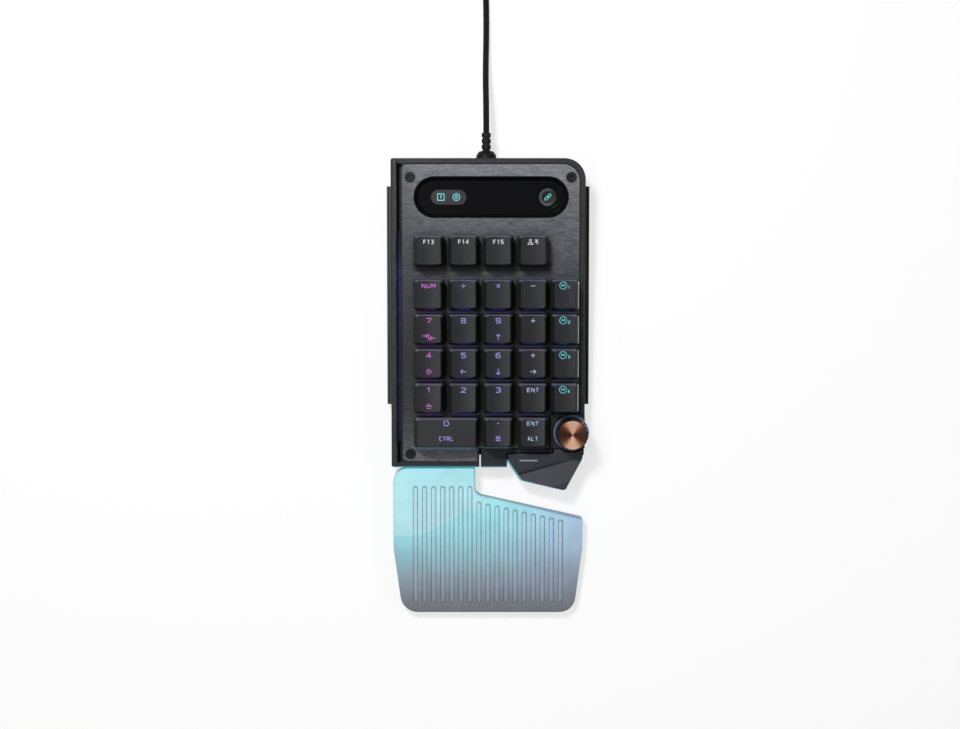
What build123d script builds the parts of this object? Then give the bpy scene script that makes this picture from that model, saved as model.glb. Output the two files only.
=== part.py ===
from build123d import *
import math
import os

# Case, plate and desk. The keypad is drawn flat, plate top at zero height, then tilted rear edge up.
CASE_WIDTH = 108.0
CASE_LENGTH = 172.0
CASE_TILT = 4.0
PLATE_HEIGHT = 19.0
FOOT_STAND = 1.5
CASE_WALL = 2.4
CASE_FLOOR = 1.8
SPLIT_DEPTH = 6.8
SMALL_CORNER = 1.2
REAR_RIGHT_CORNER = 11.7
BEZEL = 2.8
BEZEL_DROP = 0.3
BEZEL_CHAMFER = 0.6
OVERRUN = 5.0
CLEARANCE = 0.3

# Top plate
PLATE_THICKNESS = 1.5
PLATE_GAP = 0.4
PLATE_LEDGE = 1.5
PLATE_CORNER = 2.8
PLATE_REAR_RIGHT_CORNER = 9.5
PLATE_CHAMFER = 0.3

# Left rim, its light channel and the trim strip
LEFT_RIM = 3.6
CHANNEL_WIDTH = 2.5
CHANNEL_DEPTH = 5.0
TRIM_WIDTH = 2.7
TRIM_SEAT_DEPTH = 2.0
TRIM_PROUD = 1.0
TRIM_ROUND = 0.8
TRIM_END_INSET = 1.2
LIGHT_BAR_CLEAR = 0.1
LIGHT_BAR_THICKNESS = 2.2
LIGHT_BAR_FRONT_INSET = 14.0
LIGHT_BAR_REAR_INSET = 40.0
FRONT_LIGHT_PROUD = 0.3
FRONT_LIGHT_SEAT = 1.2
FRONT_LIGHT_HEIGHT = 1.2
FRONT_LIGHT_DEPTH = 4.6
FRONT_LIGHT_END = 2.0

# Side rails
RAIL_PROUD = 2.6
RAIL_FRONT_INSET = 34.8
RAIL_REAR_INSET = 15.2
RAIL_TOP_DEPTH = 7.6
RAIL_HEIGHT = 5.0
RAIL_STEP = 1.0
RAIL_GROOVE = 0.4
RAIL_INNER_RIDGE = 1.2
RAIL_TONGUE = 1.0
RAIL_TONGUE_HEIGHT = 2.0

# Key field: margins from the case's edges and the gaps between keys; the keys share out what is left
KEYS_LEFT_INSET = 12.8
KEYS_RIGHT_INSET = 4.35
KEYS_FRONT_INSET = 11.9
KEY_GAP = 1.85
MACRO_GAP = 1.1
MACRO_NARROWING = 1.8
FUNCTION_GAP = 4.95
TRAY_KEY_GAP = 9.7

# Keycaps
KEY_TOP_NARROWING = 4.2
KEY_TOP_FRONT_SLOPE = 1.7
KEY_TOP_REAR_SLOPE = 0.5
KEY_BASE_LEVEL = 5.0
KEY_HEIGHT = 9.5
KEY_CORNER = 1.6
KEY_WALL = 1.3
KEY_CEILING = 1.7
KEY_DISH_RADIUS = 34.0
KEY_DISH_DEPTH = 0.75
KEY_BOSS_SIDE_INSET = 0.6
KEY_BOSS_END_INSET = 0.3

# Key switches
SWITCH_HOLE_WEB = 4.95
SWITCH_HOLE_FIT = 0.1
SWITCH_FLANGE_LIP = 0.55
SWITCH_FLANGE_HEIGHT = 1.0
SWITCH_SIDE_STEP = 1.15
SWITCH_END_STEP = 0.25
SWITCH_SIDE_LEAN = 1.4
SWITCH_END_LEAN = 1.2
SWITCH_TOP_LEVEL = 6.2
SWITCH_BELOW = 5.0
SWITCH_FLOOR = 0.6
STEM_SIDE_WALL = 1.2
STEM_END_WALL = 2.6
STEM_LENGTH = 5.6

# Circuit board, posts and screws
BOARD_THICKNESS = 1.6
BOARD_CLEAR = 0.5
BOARD_POST_RADIUS = 2.2
DOME_RADIUS = 2.6
DOME_HEIGHT = 0.25
SCREW_HEAD_RADIUS = 2.9
SCREW_HEAD_HEIGHT = 0.9
SCREW_SOCKET = 1.6
SCREW_SOCKET_DEPTH = 0.6
SCREW_SHANK_RADIUS = 1.2
SCREW_LENGTH = 6.0
SCREW_BOSS_RADIUS = 2.0
MODULE_BOSS_RADIUS = 4.4
SCREW_FIT = 0.1
SCREW_SIDE_INSET = 4.7
SCREW_REAR_INSET = 7.4
SCREW_FRONT_INSET = 4.4
MODULE_SCREW_INSET = 3.2

# Display tray, lens and mode button
TRAY_LEFT_INSET = 6.6
TRAY_RIGHT_INSET = 6.1
TRAY_DEPTH = 23.0
TRAY_REAR_MARGIN = 10.0
TRAY_SLOPE = 2.4
TRAY_RECESS = 2.6
TRAY_FLOOR = 1.0
TRAY_FLANGE = 1.5
TRAY_FLANGE_HEIGHT = 1.2
TRAY_FIT = 0.15
LENS_LENGTH = 19.6
LENS_DEPTH = 8.2
LENS_PROUD = 0.3
LENS_INSET = 9.6
LENS_FLANGE = 0.8
LENS_FLANGE_HEIGHT = 0.6
BUTTON_RADIUS = 4.9
BUTTON_PROUD = 0.6
BUTTON_INSET = 11.6
BUTTON_FLANGE = 0.7
BUTTON_FLANGE_HEIGHT = 0.5
BUTTON_GAP = 0.05
BUTTON_DISH = 0.4
BUTTON_DISH_SHARE = 0.9
BUTTON_RING = 1.6
BUTTON_RING_DEPTH = 0.35

# Thumb module: seam, knob and paddle bay
SLIT = 0.9
MODULE_CLEAR = 1.3
MODULE_GAP = 0.3
MODULE_WALL = 2.0
MODULE_DECK = 2.0
OPEN_SLIT_LENGTH = 6.2
PANEL_WIDTH = 14.6
PANEL_GAP = 0.5

# Knob
KNOB_SIDE_INSET = 7.5
KNOB_ROW_OFFSET = 0.8
KNOB_RADIUS = 9.6
KNOB_SKIRT_HEIGHT = 2.4
KNOB_GRIP_RADIUS = 9.0
KNOB_TOP_RADIUS = 8.5
KNOB_BASE_LEVEL = 2.3
KNOB_HEIGHT = 12.0
KNOB_FLUTES = 18
KNOB_FLUTE = 0.45
KNOB_CAP_RADIUS = 7.9
KNOB_CAP_THICKNESS = 1.0
KNOB_CAP_DISH = 0.5
COLLAR_RADIUS = 10.6
COLLAR_HEIGHT = 1.6
ENCODER_SIZE = 10.0
ENCODER_HEIGHT = 4.4
BUSHING_RADIUS = 3.6
BUSHING_HEIGHT = 5.2
SHAFT_RADIUS = 2.9
SHAFT_FLAT = 1.4
SHAFT_FIT = 0.05
SHAFT_LENGTH = 15.2

# Thumb paddle and its bay
PADDLE_RIGHT_INSET = 1.4
PADDLE_WIDTH = 41.5
PADDLE_DEPTH = 22.6
PADDLE_REAR_INSET = 10.4
PADDLE_OUTLINE_SHARES = (
    (0.0, 0.11),
    (0.017, 0.30),
    (0.186, 0.755),
    (0.765, 1.0),
    (0.976, 0.275),
    (1.0, 0.08),
    (1.0, 0.0),
    (0.622, 0.0),
    (0.612, 0.11),
)
PADDLE_CORNERS = (0.5, 2.0, 2.0, 1.6, 3.0, 0.4, 0.4, 0.6, 0.6)
PADDLE_BASE_LEVEL = -1.0
PADDLE_HEIGHT = 5.6
PADDLE_WALL = 1.6
PADDLE_TRAVEL = 1.5
PADDLE_KNOB_GAP = 0.6
CREASE_START_SHARES = (0.0, 0.72)
CREASE_END_SHARES = (1.0, 0.19)
CREASE_DEPTH = 1.7
CREASE_FRONT_RUN = 11.0
CREASE_REAR_RUN = 15.0
BAY_DEPTH = 5.0
GUIDE_RADIUS = 1.5
GUIDE_FIT = 0.1
GUIDE_LENGTH = 4.0
GUIDE_SHARES = ((0.24, 0.40), (0.80, 0.42))
PADDLE_SWITCH_SHARES = (0.50, 0.52)
PADDLE_SWITCH_LENGTH = 12.8
PADDLE_SWITCH_DEPTH = 6.4
PADDLE_SWITCH_HEIGHT = 4.6
PLUNGER_RADIUS = 1.2
PLUNGER_WELL = 3.0
RIM_PROUD = 1.3
RIM_SEAT = 1.0
RIM_HEIGHT = 2.3
RIM_END_SHARE = 0.80
RIM_START_SHARE = 0.30

# Wrist rest
REST_SIDE_INSET = 0.9
REST_LENGTH = 81.4
REST_GAP = 0.7
REST_PROUD = 0.4
REST_OUTLINE_SHARES = (
    (-1.0, 0.0),
    (-0.135, 0.0),
    (-0.135, 0.180),
    (1.0, 0.345),
    (1.0, 0.55),
    (0.905, 1.0),
    (-0.905, 1.0),
    (-1.0, 0.55),
)
REST_CORNERS = (7.4, 1.5, 4.2, 1.8, 30.0, 9.0, 10.0, 30.0)
REST_EDGE = 0.7
REST_SIDE_SLOPE = 8.5
REST_SIDE_DROP = 1.8
REST_WALL = 2.6
REST_BASE = 2.4
REST_BASE_INSET = 1.4
RIB_PITCH = 5.08
RIB_WIDTH = 2.6
RIB_DEPTH = 0.8
RIB_END_SHARE = 0.42
RIB_SIDE_INSET = 12.4
RIB_REAR_INSET = 10.0
RIB_NOTCH_INSET = 3.6
RIB_FRONT_INSET = 5.4
TONGUE_LENGTH = 6.0
TONGUE_ROOT = 9.0
TONGUE_THICKNESS = 2.0
TONGUE_LEFT_INSET = 12.5
TONGUE_SEAM_INSET = 6.6

# Feet
FOOT_WIDTH = 16.0
FOOT_DEPTH = 8.0
FOOT_SIDE_INSET = 10.0
FOOT_END_INSET = 12.0
NOSE_FOOT_WIDTH = 12.0
NOSE_FOOT_DEPTH = 5.0
NOSE_FOOT_SHARES = (0.52, 0.62)
REST_FOOT_WIDTH = 10.0
REST_FOOT_DEPTH = 8.0
REST_FOOT_SHARES = ((-0.82, 0.16), (-0.78, 0.84), (0.78, 0.84), (0.82, 0.48))

# Cable, strain relief, coil and plug
CABLE_DIAMETER = 3.4
CABLE_OFFSET = -1.0
CABLE_LEVEL = 13.0
RELIEF_DOME_RADIUS = 5.9
RELIEF_DOME_LENGTH = 4.8
RELIEF_DOME_STEPS = 3
RELIEF_RADIUS = 2.6
RELIEF_NECK_RADIUS = 2.05
RELIEF_LENGTH = 9.8
RELIEF_RIB_COUNT = 3
RELIEF_NECK_LENGTH = 1.0
RELIEF_SHANK_RADIUS = 3.6
RELIEF_SHANK_FIT = 0.05
CABLE_STRAIGHT_REACH = 27.0
CABLE_POINTS = (
    (-1.4, 176.0, 7.0),
    (-0.8, 203.0, 2.2),
    (-1.4, 232.0, 3.0),
)
RUN_SHARE = 0.45
TUBE_SIDES = 6
COIL_START = (-1.4, 264.0)
COIL_OUTER_RADIUS = 26.4
COIL_LEVEL = 3.0
COIL_LAYERS = 4
COIL_TURNS = 2.8125
COIL_CLIMB = 0.5
COIL_WOUND = COIL_LAYERS * (COIL_TURNS + COIL_CLIMB) - COIL_CLIMB
COIL_PITCH = 4.4
COIL_STEP = 0.25
COIL_TURN_FINENESS = 500
TAIL_WIDENING = 0.25
TAIL_FALL = 0.5
TAIL_SPREAD = 6.0
GAP_STEP = 1.0
TIE_THICKNESS = 0.9
TIE_ROUND = 0.8
TIE_WIDTH = 8.0
TIE_GAP = 0.35
TIE_ANGLE = 315.0
PLUG_LEVEL = 4.0
PLUG_WIDTH = 15.4
PLUG_THICKNESS = 7.6
PLUG_LENGTH = 22.0
PLUG_ROUND = 2.0
PLUG_NECK_RADIUS = 2.9
PLUG_NECK_LENGTH = 7.0
SHELL_WIDTH = 12.0
SHELL_THICKNESS = 4.5
SHELL_LENGTH = 12.0
SHELL_WALL = 0.4
SHELL_TONGUE = 1.9

# Places that follow from the sizes
TILT = math.radians(CASE_TILT)
HALF_WIDTH = CASE_WIDTH / 2
HALF_LENGTH = CASE_LENGTH / 2
REAR_WALL_FOOT = (FOOT_STAND - PLATE_HEIGHT - HALF_LENGTH * math.sin(TILT)) / math.cos(TILT)
REST_REAR = -HALF_LENGTH - REST_GAP
REST_FRONT = REST_REAR - REST_LENGTH
CASE_CENTRE_Y = (-REST_FRONT * math.cos(TILT) - HALF_LENGTH * math.cos(TILT)
                 + REAR_WALL_FOOT * math.sin(TILT)) / 2
PLACE = Location((0, CASE_CENTRE_Y, PLATE_HEIGHT), (CASE_TILT, 0, 0))

PLATE_LEFT = -HALF_WIDTH + LEFT_RIM + CHANNEL_WIDTH
PLATE_RIGHT = HALF_WIDTH - BEZEL - PLATE_GAP
PLATE_REAR = HALF_LENGTH - BEZEL - PLATE_GAP
PLATE_FRONT = -PLATE_REAR
KEY_COLUMNS = 4
KEY_ROWS = 6
KEY_FIELD_WIDTH = CASE_WIDTH - KEYS_LEFT_INSET - KEYS_RIGHT_INSET - KEY_GAP * (KEY_COLUMNS - 1) - MACRO_GAP
KEY_WIDTH = (KEY_FIELD_WIDTH + MACRO_NARROWING) / (KEY_COLUMNS + 1)
MACRO_WIDTH = KEY_WIDTH - MACRO_NARROWING
KEY_FIELD_LENGTH = (CASE_LENGTH - KEYS_FRONT_INSET - KEY_GAP * (KEY_ROWS - 1) - FUNCTION_GAP
                    - TRAY_KEY_GAP - TRAY_DEPTH - TRAY_REAR_MARGIN)
KEY_DEPTH = KEY_FIELD_LENGTH / KEY_ROWS
COLUMN_PITCH = KEY_WIDTH + KEY_GAP
ROW_PITCH = KEY_DEPTH + KEY_GAP
ROW_Y = [-HALF_LENGTH + KEYS_FRONT_INSET + KEY_DEPTH / 2 + row * ROW_PITCH for row in range(KEY_ROWS)]
ROW_Y[-1] = ROW_Y[-1] + FUNCTION_GAP
COLUMN_X = [-HALF_WIDTH + KEYS_LEFT_INSET + KEY_WIDTH / 2 + column * COLUMN_PITCH for column in range(KEY_COLUMNS)]
COLUMN_X.append(HALF_WIDTH - KEYS_RIGHT_INSET - MACRO_WIDTH / 2)
SWITCH_HOLE = (COLUMN_PITCH - SWITCH_HOLE_WEB, ROW_PITCH - SWITCH_HOLE_WEB)
SWITCH_BODY = [side - SWITCH_HOLE_FIT * 2 for side in SWITCH_HOLE]
SWITCH_FLANGE = [side + SWITCH_FLANGE_LIP * 2 for side in SWITCH_HOLE]
SWITCH_SHOULDER = (SWITCH_BODY[0] - SWITCH_SIDE_STEP * 2, SWITCH_BODY[1] - SWITCH_END_STEP * 2)
STEM_WIDTH = SWITCH_SHOULDER[0] - (SWITCH_SIDE_LEAN + STEM_SIDE_WALL) * 2
STEM_DEPTH = SWITCH_SHOULDER[1] - (SWITCH_END_LEAN + STEM_END_WALL) * 2
PADDLE_LEFT = HALF_WIDTH - PADDLE_RIGHT_INSET - PADDLE_WIDTH
PADDLE_REAR = -HALF_LENGTH + PADDLE_REAR_INSET
PANEL_LEFT = PADDLE_LEFT - PANEL_GAP - PANEL_WIDTH
SEAM_X = PANEL_LEFT - SLIT
MODULE_REAR = ROW_Y[0] - KEY_DEPTH / 2 - MODULE_CLEAR
KNOB_BAY_LEFT = COLUMN_X[3] + KEY_WIDTH / 2 + MODULE_CLEAR
KNOB_BAY_REAR = ROW_Y[1] - KEY_DEPTH / 2 - MODULE_CLEAR / 2
KNOB_X = HALF_WIDTH - KNOB_SIDE_INSET
KNOB_Y = ROW_Y[0] - KNOB_ROW_OFFSET
OPEN_SLIT_REAR = -HALF_LENGTH + OPEN_SLIT_LENGTH
BOARD_TOP = -SWITCH_BELOW
BOARD_BOTTOM = BOARD_TOP - BOARD_THICKNESS
TRAY_LENGTH = PLATE_RIGHT - PLATE_LEFT - TRAY_LEFT_INSET - TRAY_RIGHT_INSET
TRAY_X = PLATE_LEFT + TRAY_LEFT_INSET + TRAY_LENGTH / 2
TRAY_Y = HALF_LENGTH - TRAY_REAR_MARGIN - TRAY_DEPTH / 2
TRAY_FLOOR_TOP = -TRAY_RECESS
TRAY_FLOOR_BOTTOM = TRAY_FLOOR_TOP - TRAY_FLOOR
LENS_X = TRAY_X - TRAY_LENGTH / 2 + LENS_INSET + LENS_LENGTH / 2
BUTTON_X = TRAY_X + TRAY_LENGTH / 2 - BUTTON_INSET
RAIL_LENGTH = CASE_LENGTH - RAIL_FRONT_INSET - RAIL_REAR_INSET
RAIL_Y = (RAIL_FRONT_INSET - RAIL_REAR_INSET) / 2
REST_WIDTH = CASE_WIDTH - REST_SIDE_INSET * 2
RIB_COUNT = int((REST_WIDTH - RIB_SIDE_INSET * 2) / RIB_PITCH) + 1
COIL_CENTRE = (COIL_START[0] + COIL_OUTER_RADIUS, COIL_START[1])
DEEP = PLATE_HEIGHT + CASE_LENGTH

PLATE_SCREWS = (
    (PLATE_LEFT + SCREW_SIDE_INSET, PLATE_REAR - SCREW_REAR_INSET),
    (PLATE_RIGHT - SCREW_SIDE_INSET, PLATE_REAR - SCREW_REAR_INSET),
    (PLATE_LEFT + SCREW_SIDE_INSET, PLATE_FRONT + SCREW_FRONT_INSET),
)
MODULE_SCREW_X = (KNOB_BAY_LEFT + KNOB_X - ENCODER_SIZE / 2) / 2
MODULE_SCREWS = (
    (MODULE_SCREW_X, KNOB_BAY_REAR - MODULE_SCREW_INSET - MODULE_GAP),
    (MODULE_SCREW_X, PADDLE_REAR + MODULE_SCREW_INSET),
)

# Which key stands in which column and row, from the front row to the rear
KEY_GRID = (
    (None, None, "decimal", "enter_lower", None),
    ("1", "2", "3", "enter_upper", "m4"),
    ("4", "5", "6", "plus_lower", "m3"),
    ("7", "8", "9", "plus_upper", "m2"),
    ("num", "divide", "multiply", "minus", "m1"),
    ("f13", "f14", "f15", "profile", None),
)
ROW_TILTS = (-3.0, -1.0, 1.0, 3.0, 4.0, 6.0)


def block(x_range, y_range, z_range):
    """A box from its limits."""
    low = [min(pair) for pair in (x_range, y_range, z_range)]
    high = [max(pair) for pair in (x_range, y_range, z_range)]
    size = [top - bottom for bottom, top in zip(low, high)]
    middle = [(top + bottom) / 2 for bottom, top in zip(low, high)]
    return Pos(*middle) * Box(*size)


def prism(face, bottom, top):
    """A flat face on the plate plane, raised from one height to another."""
    return extrude(Pos(0, 0, bottom) * face, top - bottom)


def rounded_face(points, radii):
    """A closed outline with its own radius at each corner."""
    return make_face(FilletPolyline(*points, radius=list(radii), close=True))


def disc(x, y, radius, bottom, top):
    """An upright cylinder between two heights."""
    return Pos(x, y, (bottom + top) / 2) * Cylinder(radius, top - bottom)


def below(height):
    """All space under a level surface at this height over the desk."""
    reach = CASE_WIDTH + CASE_LENGTH + REST_LENGTH
    return block((-reach, reach), (-reach, reach), (height, height - reach))


def case_outline(inset):
    """The case seen from above, drawn in by a distance."""
    x = HALF_WIDTH - inset
    y = HALF_LENGTH - inset
    small = max(SMALL_CORNER - inset, SMALL_CORNER / 2)
    points = ((-x, -y), (x, -y), (x, y), (-x, y))
    return rounded_face(points, (small, small, REAR_RIGHT_CORNER - inset, small))


def plate_outline(grow):
    """The top plate seen from above, stepped round the thumb module."""
    left = PLATE_LEFT - grow
    right = PLATE_RIGHT + grow
    front = PLATE_FRONT - grow
    rear = PLATE_REAR + grow
    seam = SEAM_X - SLIT + min(grow, 0)
    module = MODULE_REAR - min(grow, 0)
    bay_left = KNOB_BAY_LEFT + min(grow, 0)
    bay_rear = KNOB_BAY_REAR - min(grow, 0)
    points = (
        (left, front),
        (seam, front),
        (seam, module),
        (bay_left, module),
        (bay_left, bay_rear),
        (right, bay_rear),
        (right, rear),
        (left, rear),
    )
    corner = max(PLATE_CORNER + grow, PLATE_CORNER / 4)
    radii = (corner, 0, 0, 0, 0, 0, PLATE_REAR_RIGHT_CORNER + grow, corner)
    return rounded_face(points, radii)


def stadium(length, depth):
    """A bar with fully round ends."""
    return SlotOverall(length, depth)


def key_places():
    """Name, centre, width and row of every key on the grid."""
    places = []
    for row, names in enumerate(KEY_GRID):
        for column, name in enumerate(names):
            if name:
                width = MACRO_WIDTH if column == KEY_COLUMNS else KEY_WIDTH
                places.append((name, COLUMN_X[column], ROW_Y[row], width, row))
    wide = KEY_WIDTH + COLUMN_PITCH
    places.append(("0", (COLUMN_X[0] + COLUMN_X[1]) / 2, ROW_Y[0], wide, 0))
    return places


def pyramid(width, depth, height, side, front, rear):
    """A block that stands on zero and leans in by its own amount on the sides, the front and the rear."""
    upright = Wedge(width, height, depth, side, rear, width - side, depth - front)
    return Pos(0, 0, height / 2) * Rot(90, 0, 0) * upright


def keycap(width, tilt):
    """A hollow sculpted cap, dished on top, with the boss that sits on its stem. Base centre at zero."""
    side = KEY_TOP_NARROWING / 2
    body = pyramid(width, KEY_DEPTH, KEY_HEIGHT, side, KEY_TOP_FRONT_SLOPE, KEY_TOP_REAR_SLOPE)
    leaning = [edge for edge in body.edges() if abs((edge % 0).Z) > abs((edge % 0).X) + abs((edge % 0).Y)]
    body = fillet(leaning, KEY_CORNER)
    top_depth = KEY_DEPTH - KEY_TOP_FRONT_SLOPE - KEY_TOP_REAR_SLOPE
    shift = (KEY_TOP_FRONT_SLOPE - KEY_TOP_REAR_SLOPE) / 2
    slope = Pos(0, shift, KEY_HEIGHT) * Rot(tilt, 0, 0)
    drop = top_depth / 2 * abs(math.sin(math.radians(tilt)))
    if width > KEY_WIDTH:
        top = block((-width, width), (-KEY_DEPTH, KEY_DEPTH), (-drop - KEY_DISH_DEPTH / 2, OVERRUN))
    else:
        dish = Pos(0, 0, KEY_DISH_RADIUS - KEY_DISH_DEPTH - drop) * Rot(90, 0, 0)
        top = dish * Cylinder(KEY_DISH_RADIUS, KEY_DEPTH * 2)
    ceiling = KEY_HEIGHT - KEY_CEILING - KEY_DISH_DEPTH - drop
    hollow = pyramid(width - KEY_WALL * 2, KEY_DEPTH - KEY_WALL * 2, ceiling,
                     side, KEY_TOP_FRONT_SLOPE, KEY_TOP_REAR_SLOPE)
    boss_foot = SWITCH_TOP_LEVEL - KEY_BASE_LEVEL
    boss = Rectangle(STEM_WIDTH - KEY_BOSS_SIDE_INSET * 2, STEM_DEPTH - KEY_BOSS_END_INSET * 2)
    boss = prism(boss, boss_foot, ceiling + KEY_CEILING / 2)
    return (body - slope * top - hollow) + boss


def stem():
    """The switch's sliding stem, which carries the cap. Zero is the plate top."""
    return prism(Rectangle(STEM_WIDTH, STEM_DEPTH), SWITCH_TOP_LEVEL - STEM_LENGTH, SWITCH_TOP_LEVEL)


def switch_housing():
    """A plate-mounted switch: square body, flange and tapering upper half with the stem's well."""
    body = prism(Rectangle(*SWITCH_BODY), -SWITCH_BELOW, 0)
    flange = prism(Rectangle(*SWITCH_FLANGE), 0, SWITCH_FLANGE_HEIGHT)
    upper = pyramid(*SWITCH_SHOULDER, SWITCH_TOP_LEVEL - SWITCH_FLANGE_HEIGHT,
                    SWITCH_SIDE_LEAN, SWITCH_END_LEAN, SWITCH_END_LEAN)
    upper = Pos(0, 0, SWITCH_FLANGE_HEIGHT) * upper
    opening = Rectangle(STEM_WIDTH + CLEARANCE * 2, STEM_DEPTH + CLEARANCE * 2)
    well = prism(opening, SWITCH_FLOOR - SWITCH_BELOW, SWITCH_TOP_LEVEL + OVERRUN)
    return body + flange + upper - well


def screw():
    """A flat-headed socket screw hanging from zero."""
    head = disc(0, 0, SCREW_HEAD_RADIUS, -SCREW_HEAD_HEIGHT, 0)
    shank = disc(0, 0, SCREW_SHANK_RADIUS, -SCREW_HEAD_HEIGHT - SCREW_LENGTH, -SCREW_HEAD_HEIGHT)
    socket = prism(RegularPolygon(SCREW_SOCKET, 6), -SCREW_SOCKET_DEPTH, OVERRUN)
    return head + shank - socket


def module_deck(gap):
    """The thumb module's upper deck from above: front panel, step and knob bay."""
    panel_right = PANEL_LEFT + PANEL_WIDTH
    front_step = PADDLE_REAR - PADDLE_OUTLINE_SHARES[0][1] * PADDLE_DEPTH + MODULE_GAP
    points = (
        (PANEL_LEFT, -HALF_LENGTH),
        (panel_right, -HALF_LENGTH),
        (panel_right, front_step),
        (KNOB_BAY_LEFT + MODULE_CLEAR, front_step),
        (KNOB_BAY_LEFT + MODULE_CLEAR + MODULE_GAP, PADDLE_REAR + MODULE_GAP),
        (HALF_WIDTH, PADDLE_REAR + MODULE_GAP),
        (HALF_WIDTH, KNOB_BAY_REAR - gap),
        (KNOB_BAY_LEFT + gap, KNOB_BAY_REAR - gap),
        (KNOB_BAY_LEFT + gap, MODULE_REAR - gap),
        (PANEL_LEFT, MODULE_REAR - gap),
    )
    return make_face(Polyline(*points, close=True))


def paddle_points():
    """The paddle's corners on the plate plane."""
    return [(PADDLE_LEFT + x * PADDLE_WIDTH, PADDLE_REAR - y * PADDLE_DEPTH)
            for x, y in PADDLE_OUTLINE_SHARES]


def paddle_spot(shares):
    """A place on the paddle, by its shares of width and depth."""
    return (PADDLE_LEFT + shares[0] * PADDLE_WIDTH, PADDLE_REAR - shares[1] * PADDLE_DEPTH)


def paddle_face():
    """The paddle's outline with rounded corners."""
    return rounded_face(paddle_points(), PADDLE_CORNERS)


def thumb_paddle():
    """A hollow thumb key with a creased top, two guide pins and a plunger."""
    face = paddle_face()
    top = PADDLE_BASE_LEVEL + PADDLE_HEIGHT
    body = prism(face, PADDLE_BASE_LEVEL, top)
    start = Vector(*paddle_spot(CREASE_START_SHARES))
    end = Vector(*paddle_spot(CREASE_END_SHARES))
    along = (end - start).normalized()
    valley = Plane(origin=(start.X, start.Y, top), x_dir=(-along.Y, along.X, 0), z_dir=along)
    groove = make_face(Polyline(
        (-CREASE_FRONT_RUN, 0),
        (0, -CREASE_DEPTH),
        (CREASE_REAR_RUN, 0),
        (CREASE_REAR_RUN, OVERRUN),
        (-CREASE_FRONT_RUN, OVERRUN),
        close=True,
    ))
    body = body - extrude(valley * groove, PADDLE_WIDTH * 2, both=True)
    inside = offset(face, -PADDLE_WALL, kind=Kind.INTERSECTION)
    ceiling = top - CREASE_DEPTH - PADDLE_WALL
    body = body - prism(inside, PADDLE_BASE_LEVEL - OVERRUN, ceiling)
    pins = [(spot, GUIDE_RADIUS, -BAY_DEPTH - GUIDE_LENGTH + PADDLE_TRAVEL) for spot in GUIDE_SHARES]
    pins.append((PADDLE_SWITCH_SHARES, PLUNGER_RADIUS, -BAY_DEPTH - PLUNGER_WELL / 2 + CLEARANCE))
    for shares, radius, foot in pins:
        x, y = paddle_spot(shares)
        body = body + disc(x, y, radius, foot, ceiling + PADDLE_WALL / 2)
    keep_out = disc(KNOB_X, KNOB_Y, COLLAR_RADIUS + PADDLE_KNOB_GAP, -DEEP, DEEP)
    return body - keep_out


def paddle_light_rim():
    """The lit strip that shows along the paddle's front edges."""
    face = paddle_face()
    outer = offset(face, RIM_PROUD, kind=Kind.INTERSECTION)
    inner = offset(face, -RIM_SEAT, kind=Kind.INTERSECTION)
    ring = prism(outer - inner, -BAY_DEPTH, -BAY_DEPTH + RIM_HEIGHT)
    start = PADDLE_REAR - RIM_START_SHARE * PADDLE_DEPTH
    end = PADDLE_LEFT + RIM_END_SHARE * PADDLE_WIDTH
    window = block((-DEEP, end), (start, -DEEP), (-DEEP, DEEP))
    return ring & window


def thumb_module_shell():
    """Front panel, knob bay and paddle bay in one moulding that reaches down to the desk in front."""
    deck = prism(module_deck(MODULE_GAP), -SPLIT_DEPTH, 0)
    bay = offset(paddle_face(), RIM_PROUD, kind=Kind.INTERSECTION)
    bay_floor = prism(bay, -SPLIT_DEPTH, -BAY_DEPTH)
    front = block((-DEEP, DEEP), (OPEN_SLIT_REAR - MODULE_GAP, -DEEP), (-DEEP, DEEP))
    panel = block((PANEL_LEFT, PANEL_LEFT + PANEL_WIDTH), (-HALF_LENGTH, MODULE_REAR), (-DEEP, 0))
    nose = (prism(bay, -DEEP, -BAY_DEPTH) + panel) & front
    shell = deck + bay_floor + nose + in_knob_bay(disc(KNOB_X, KNOB_Y, COLLAR_RADIUS, -BAY_DEPTH, 0))
    shell = shell - block(
        (KNOB_BAY_LEFT + MODULE_GAP + MODULE_WALL, HALF_WIDTH - MODULE_WALL),
        (PADDLE_REAR + MODULE_GAP + MODULE_WALL, KNOB_BAY_REAR),
        (-SPLIT_DEPTH - OVERRUN, -MODULE_DECK))
    bore = ENCODER_SIZE + CLEARANCE * 2
    shell = shell - prism(Pos(KNOB_X, KNOB_Y) * Rectangle(bore, bore), -DEEP, OVERRUN)
    for x, y in MODULE_SCREWS:
        boss = disc(x, y, SCREW_BOSS_RADIUS, -SPLIT_DEPTH, -MODULE_DECK)
        hole = disc(x, y, SCREW_SHANK_RADIUS + SCREW_FIT, -DEEP, -MODULE_DECK)
        shell = shell + boss - hole
    for shares in GUIDE_SHARES:
        x, y = paddle_spot(shares)
        shell = shell - disc(x, y, GUIDE_RADIUS + GUIDE_FIT, -BAY_DEPTH - GUIDE_LENGTH - CLEARANCE, 0)
    pocket = Rectangle(PADDLE_SWITCH_LENGTH, PADDLE_SWITCH_DEPTH)
    shell = shell - prism(Pos(*paddle_spot(PADDLE_SWITCH_SHARES)) * pocket,
                          -BAY_DEPTH - PADDLE_SWITCH_HEIGHT, 0)
    shell = shell - front_light(PANEL_LEFT + FRONT_LIGHT_END, PANEL_LEFT + PANEL_WIDTH - FRONT_LIGHT_END)
    return PLACE * shell - below(FOOT_STAND)


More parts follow.
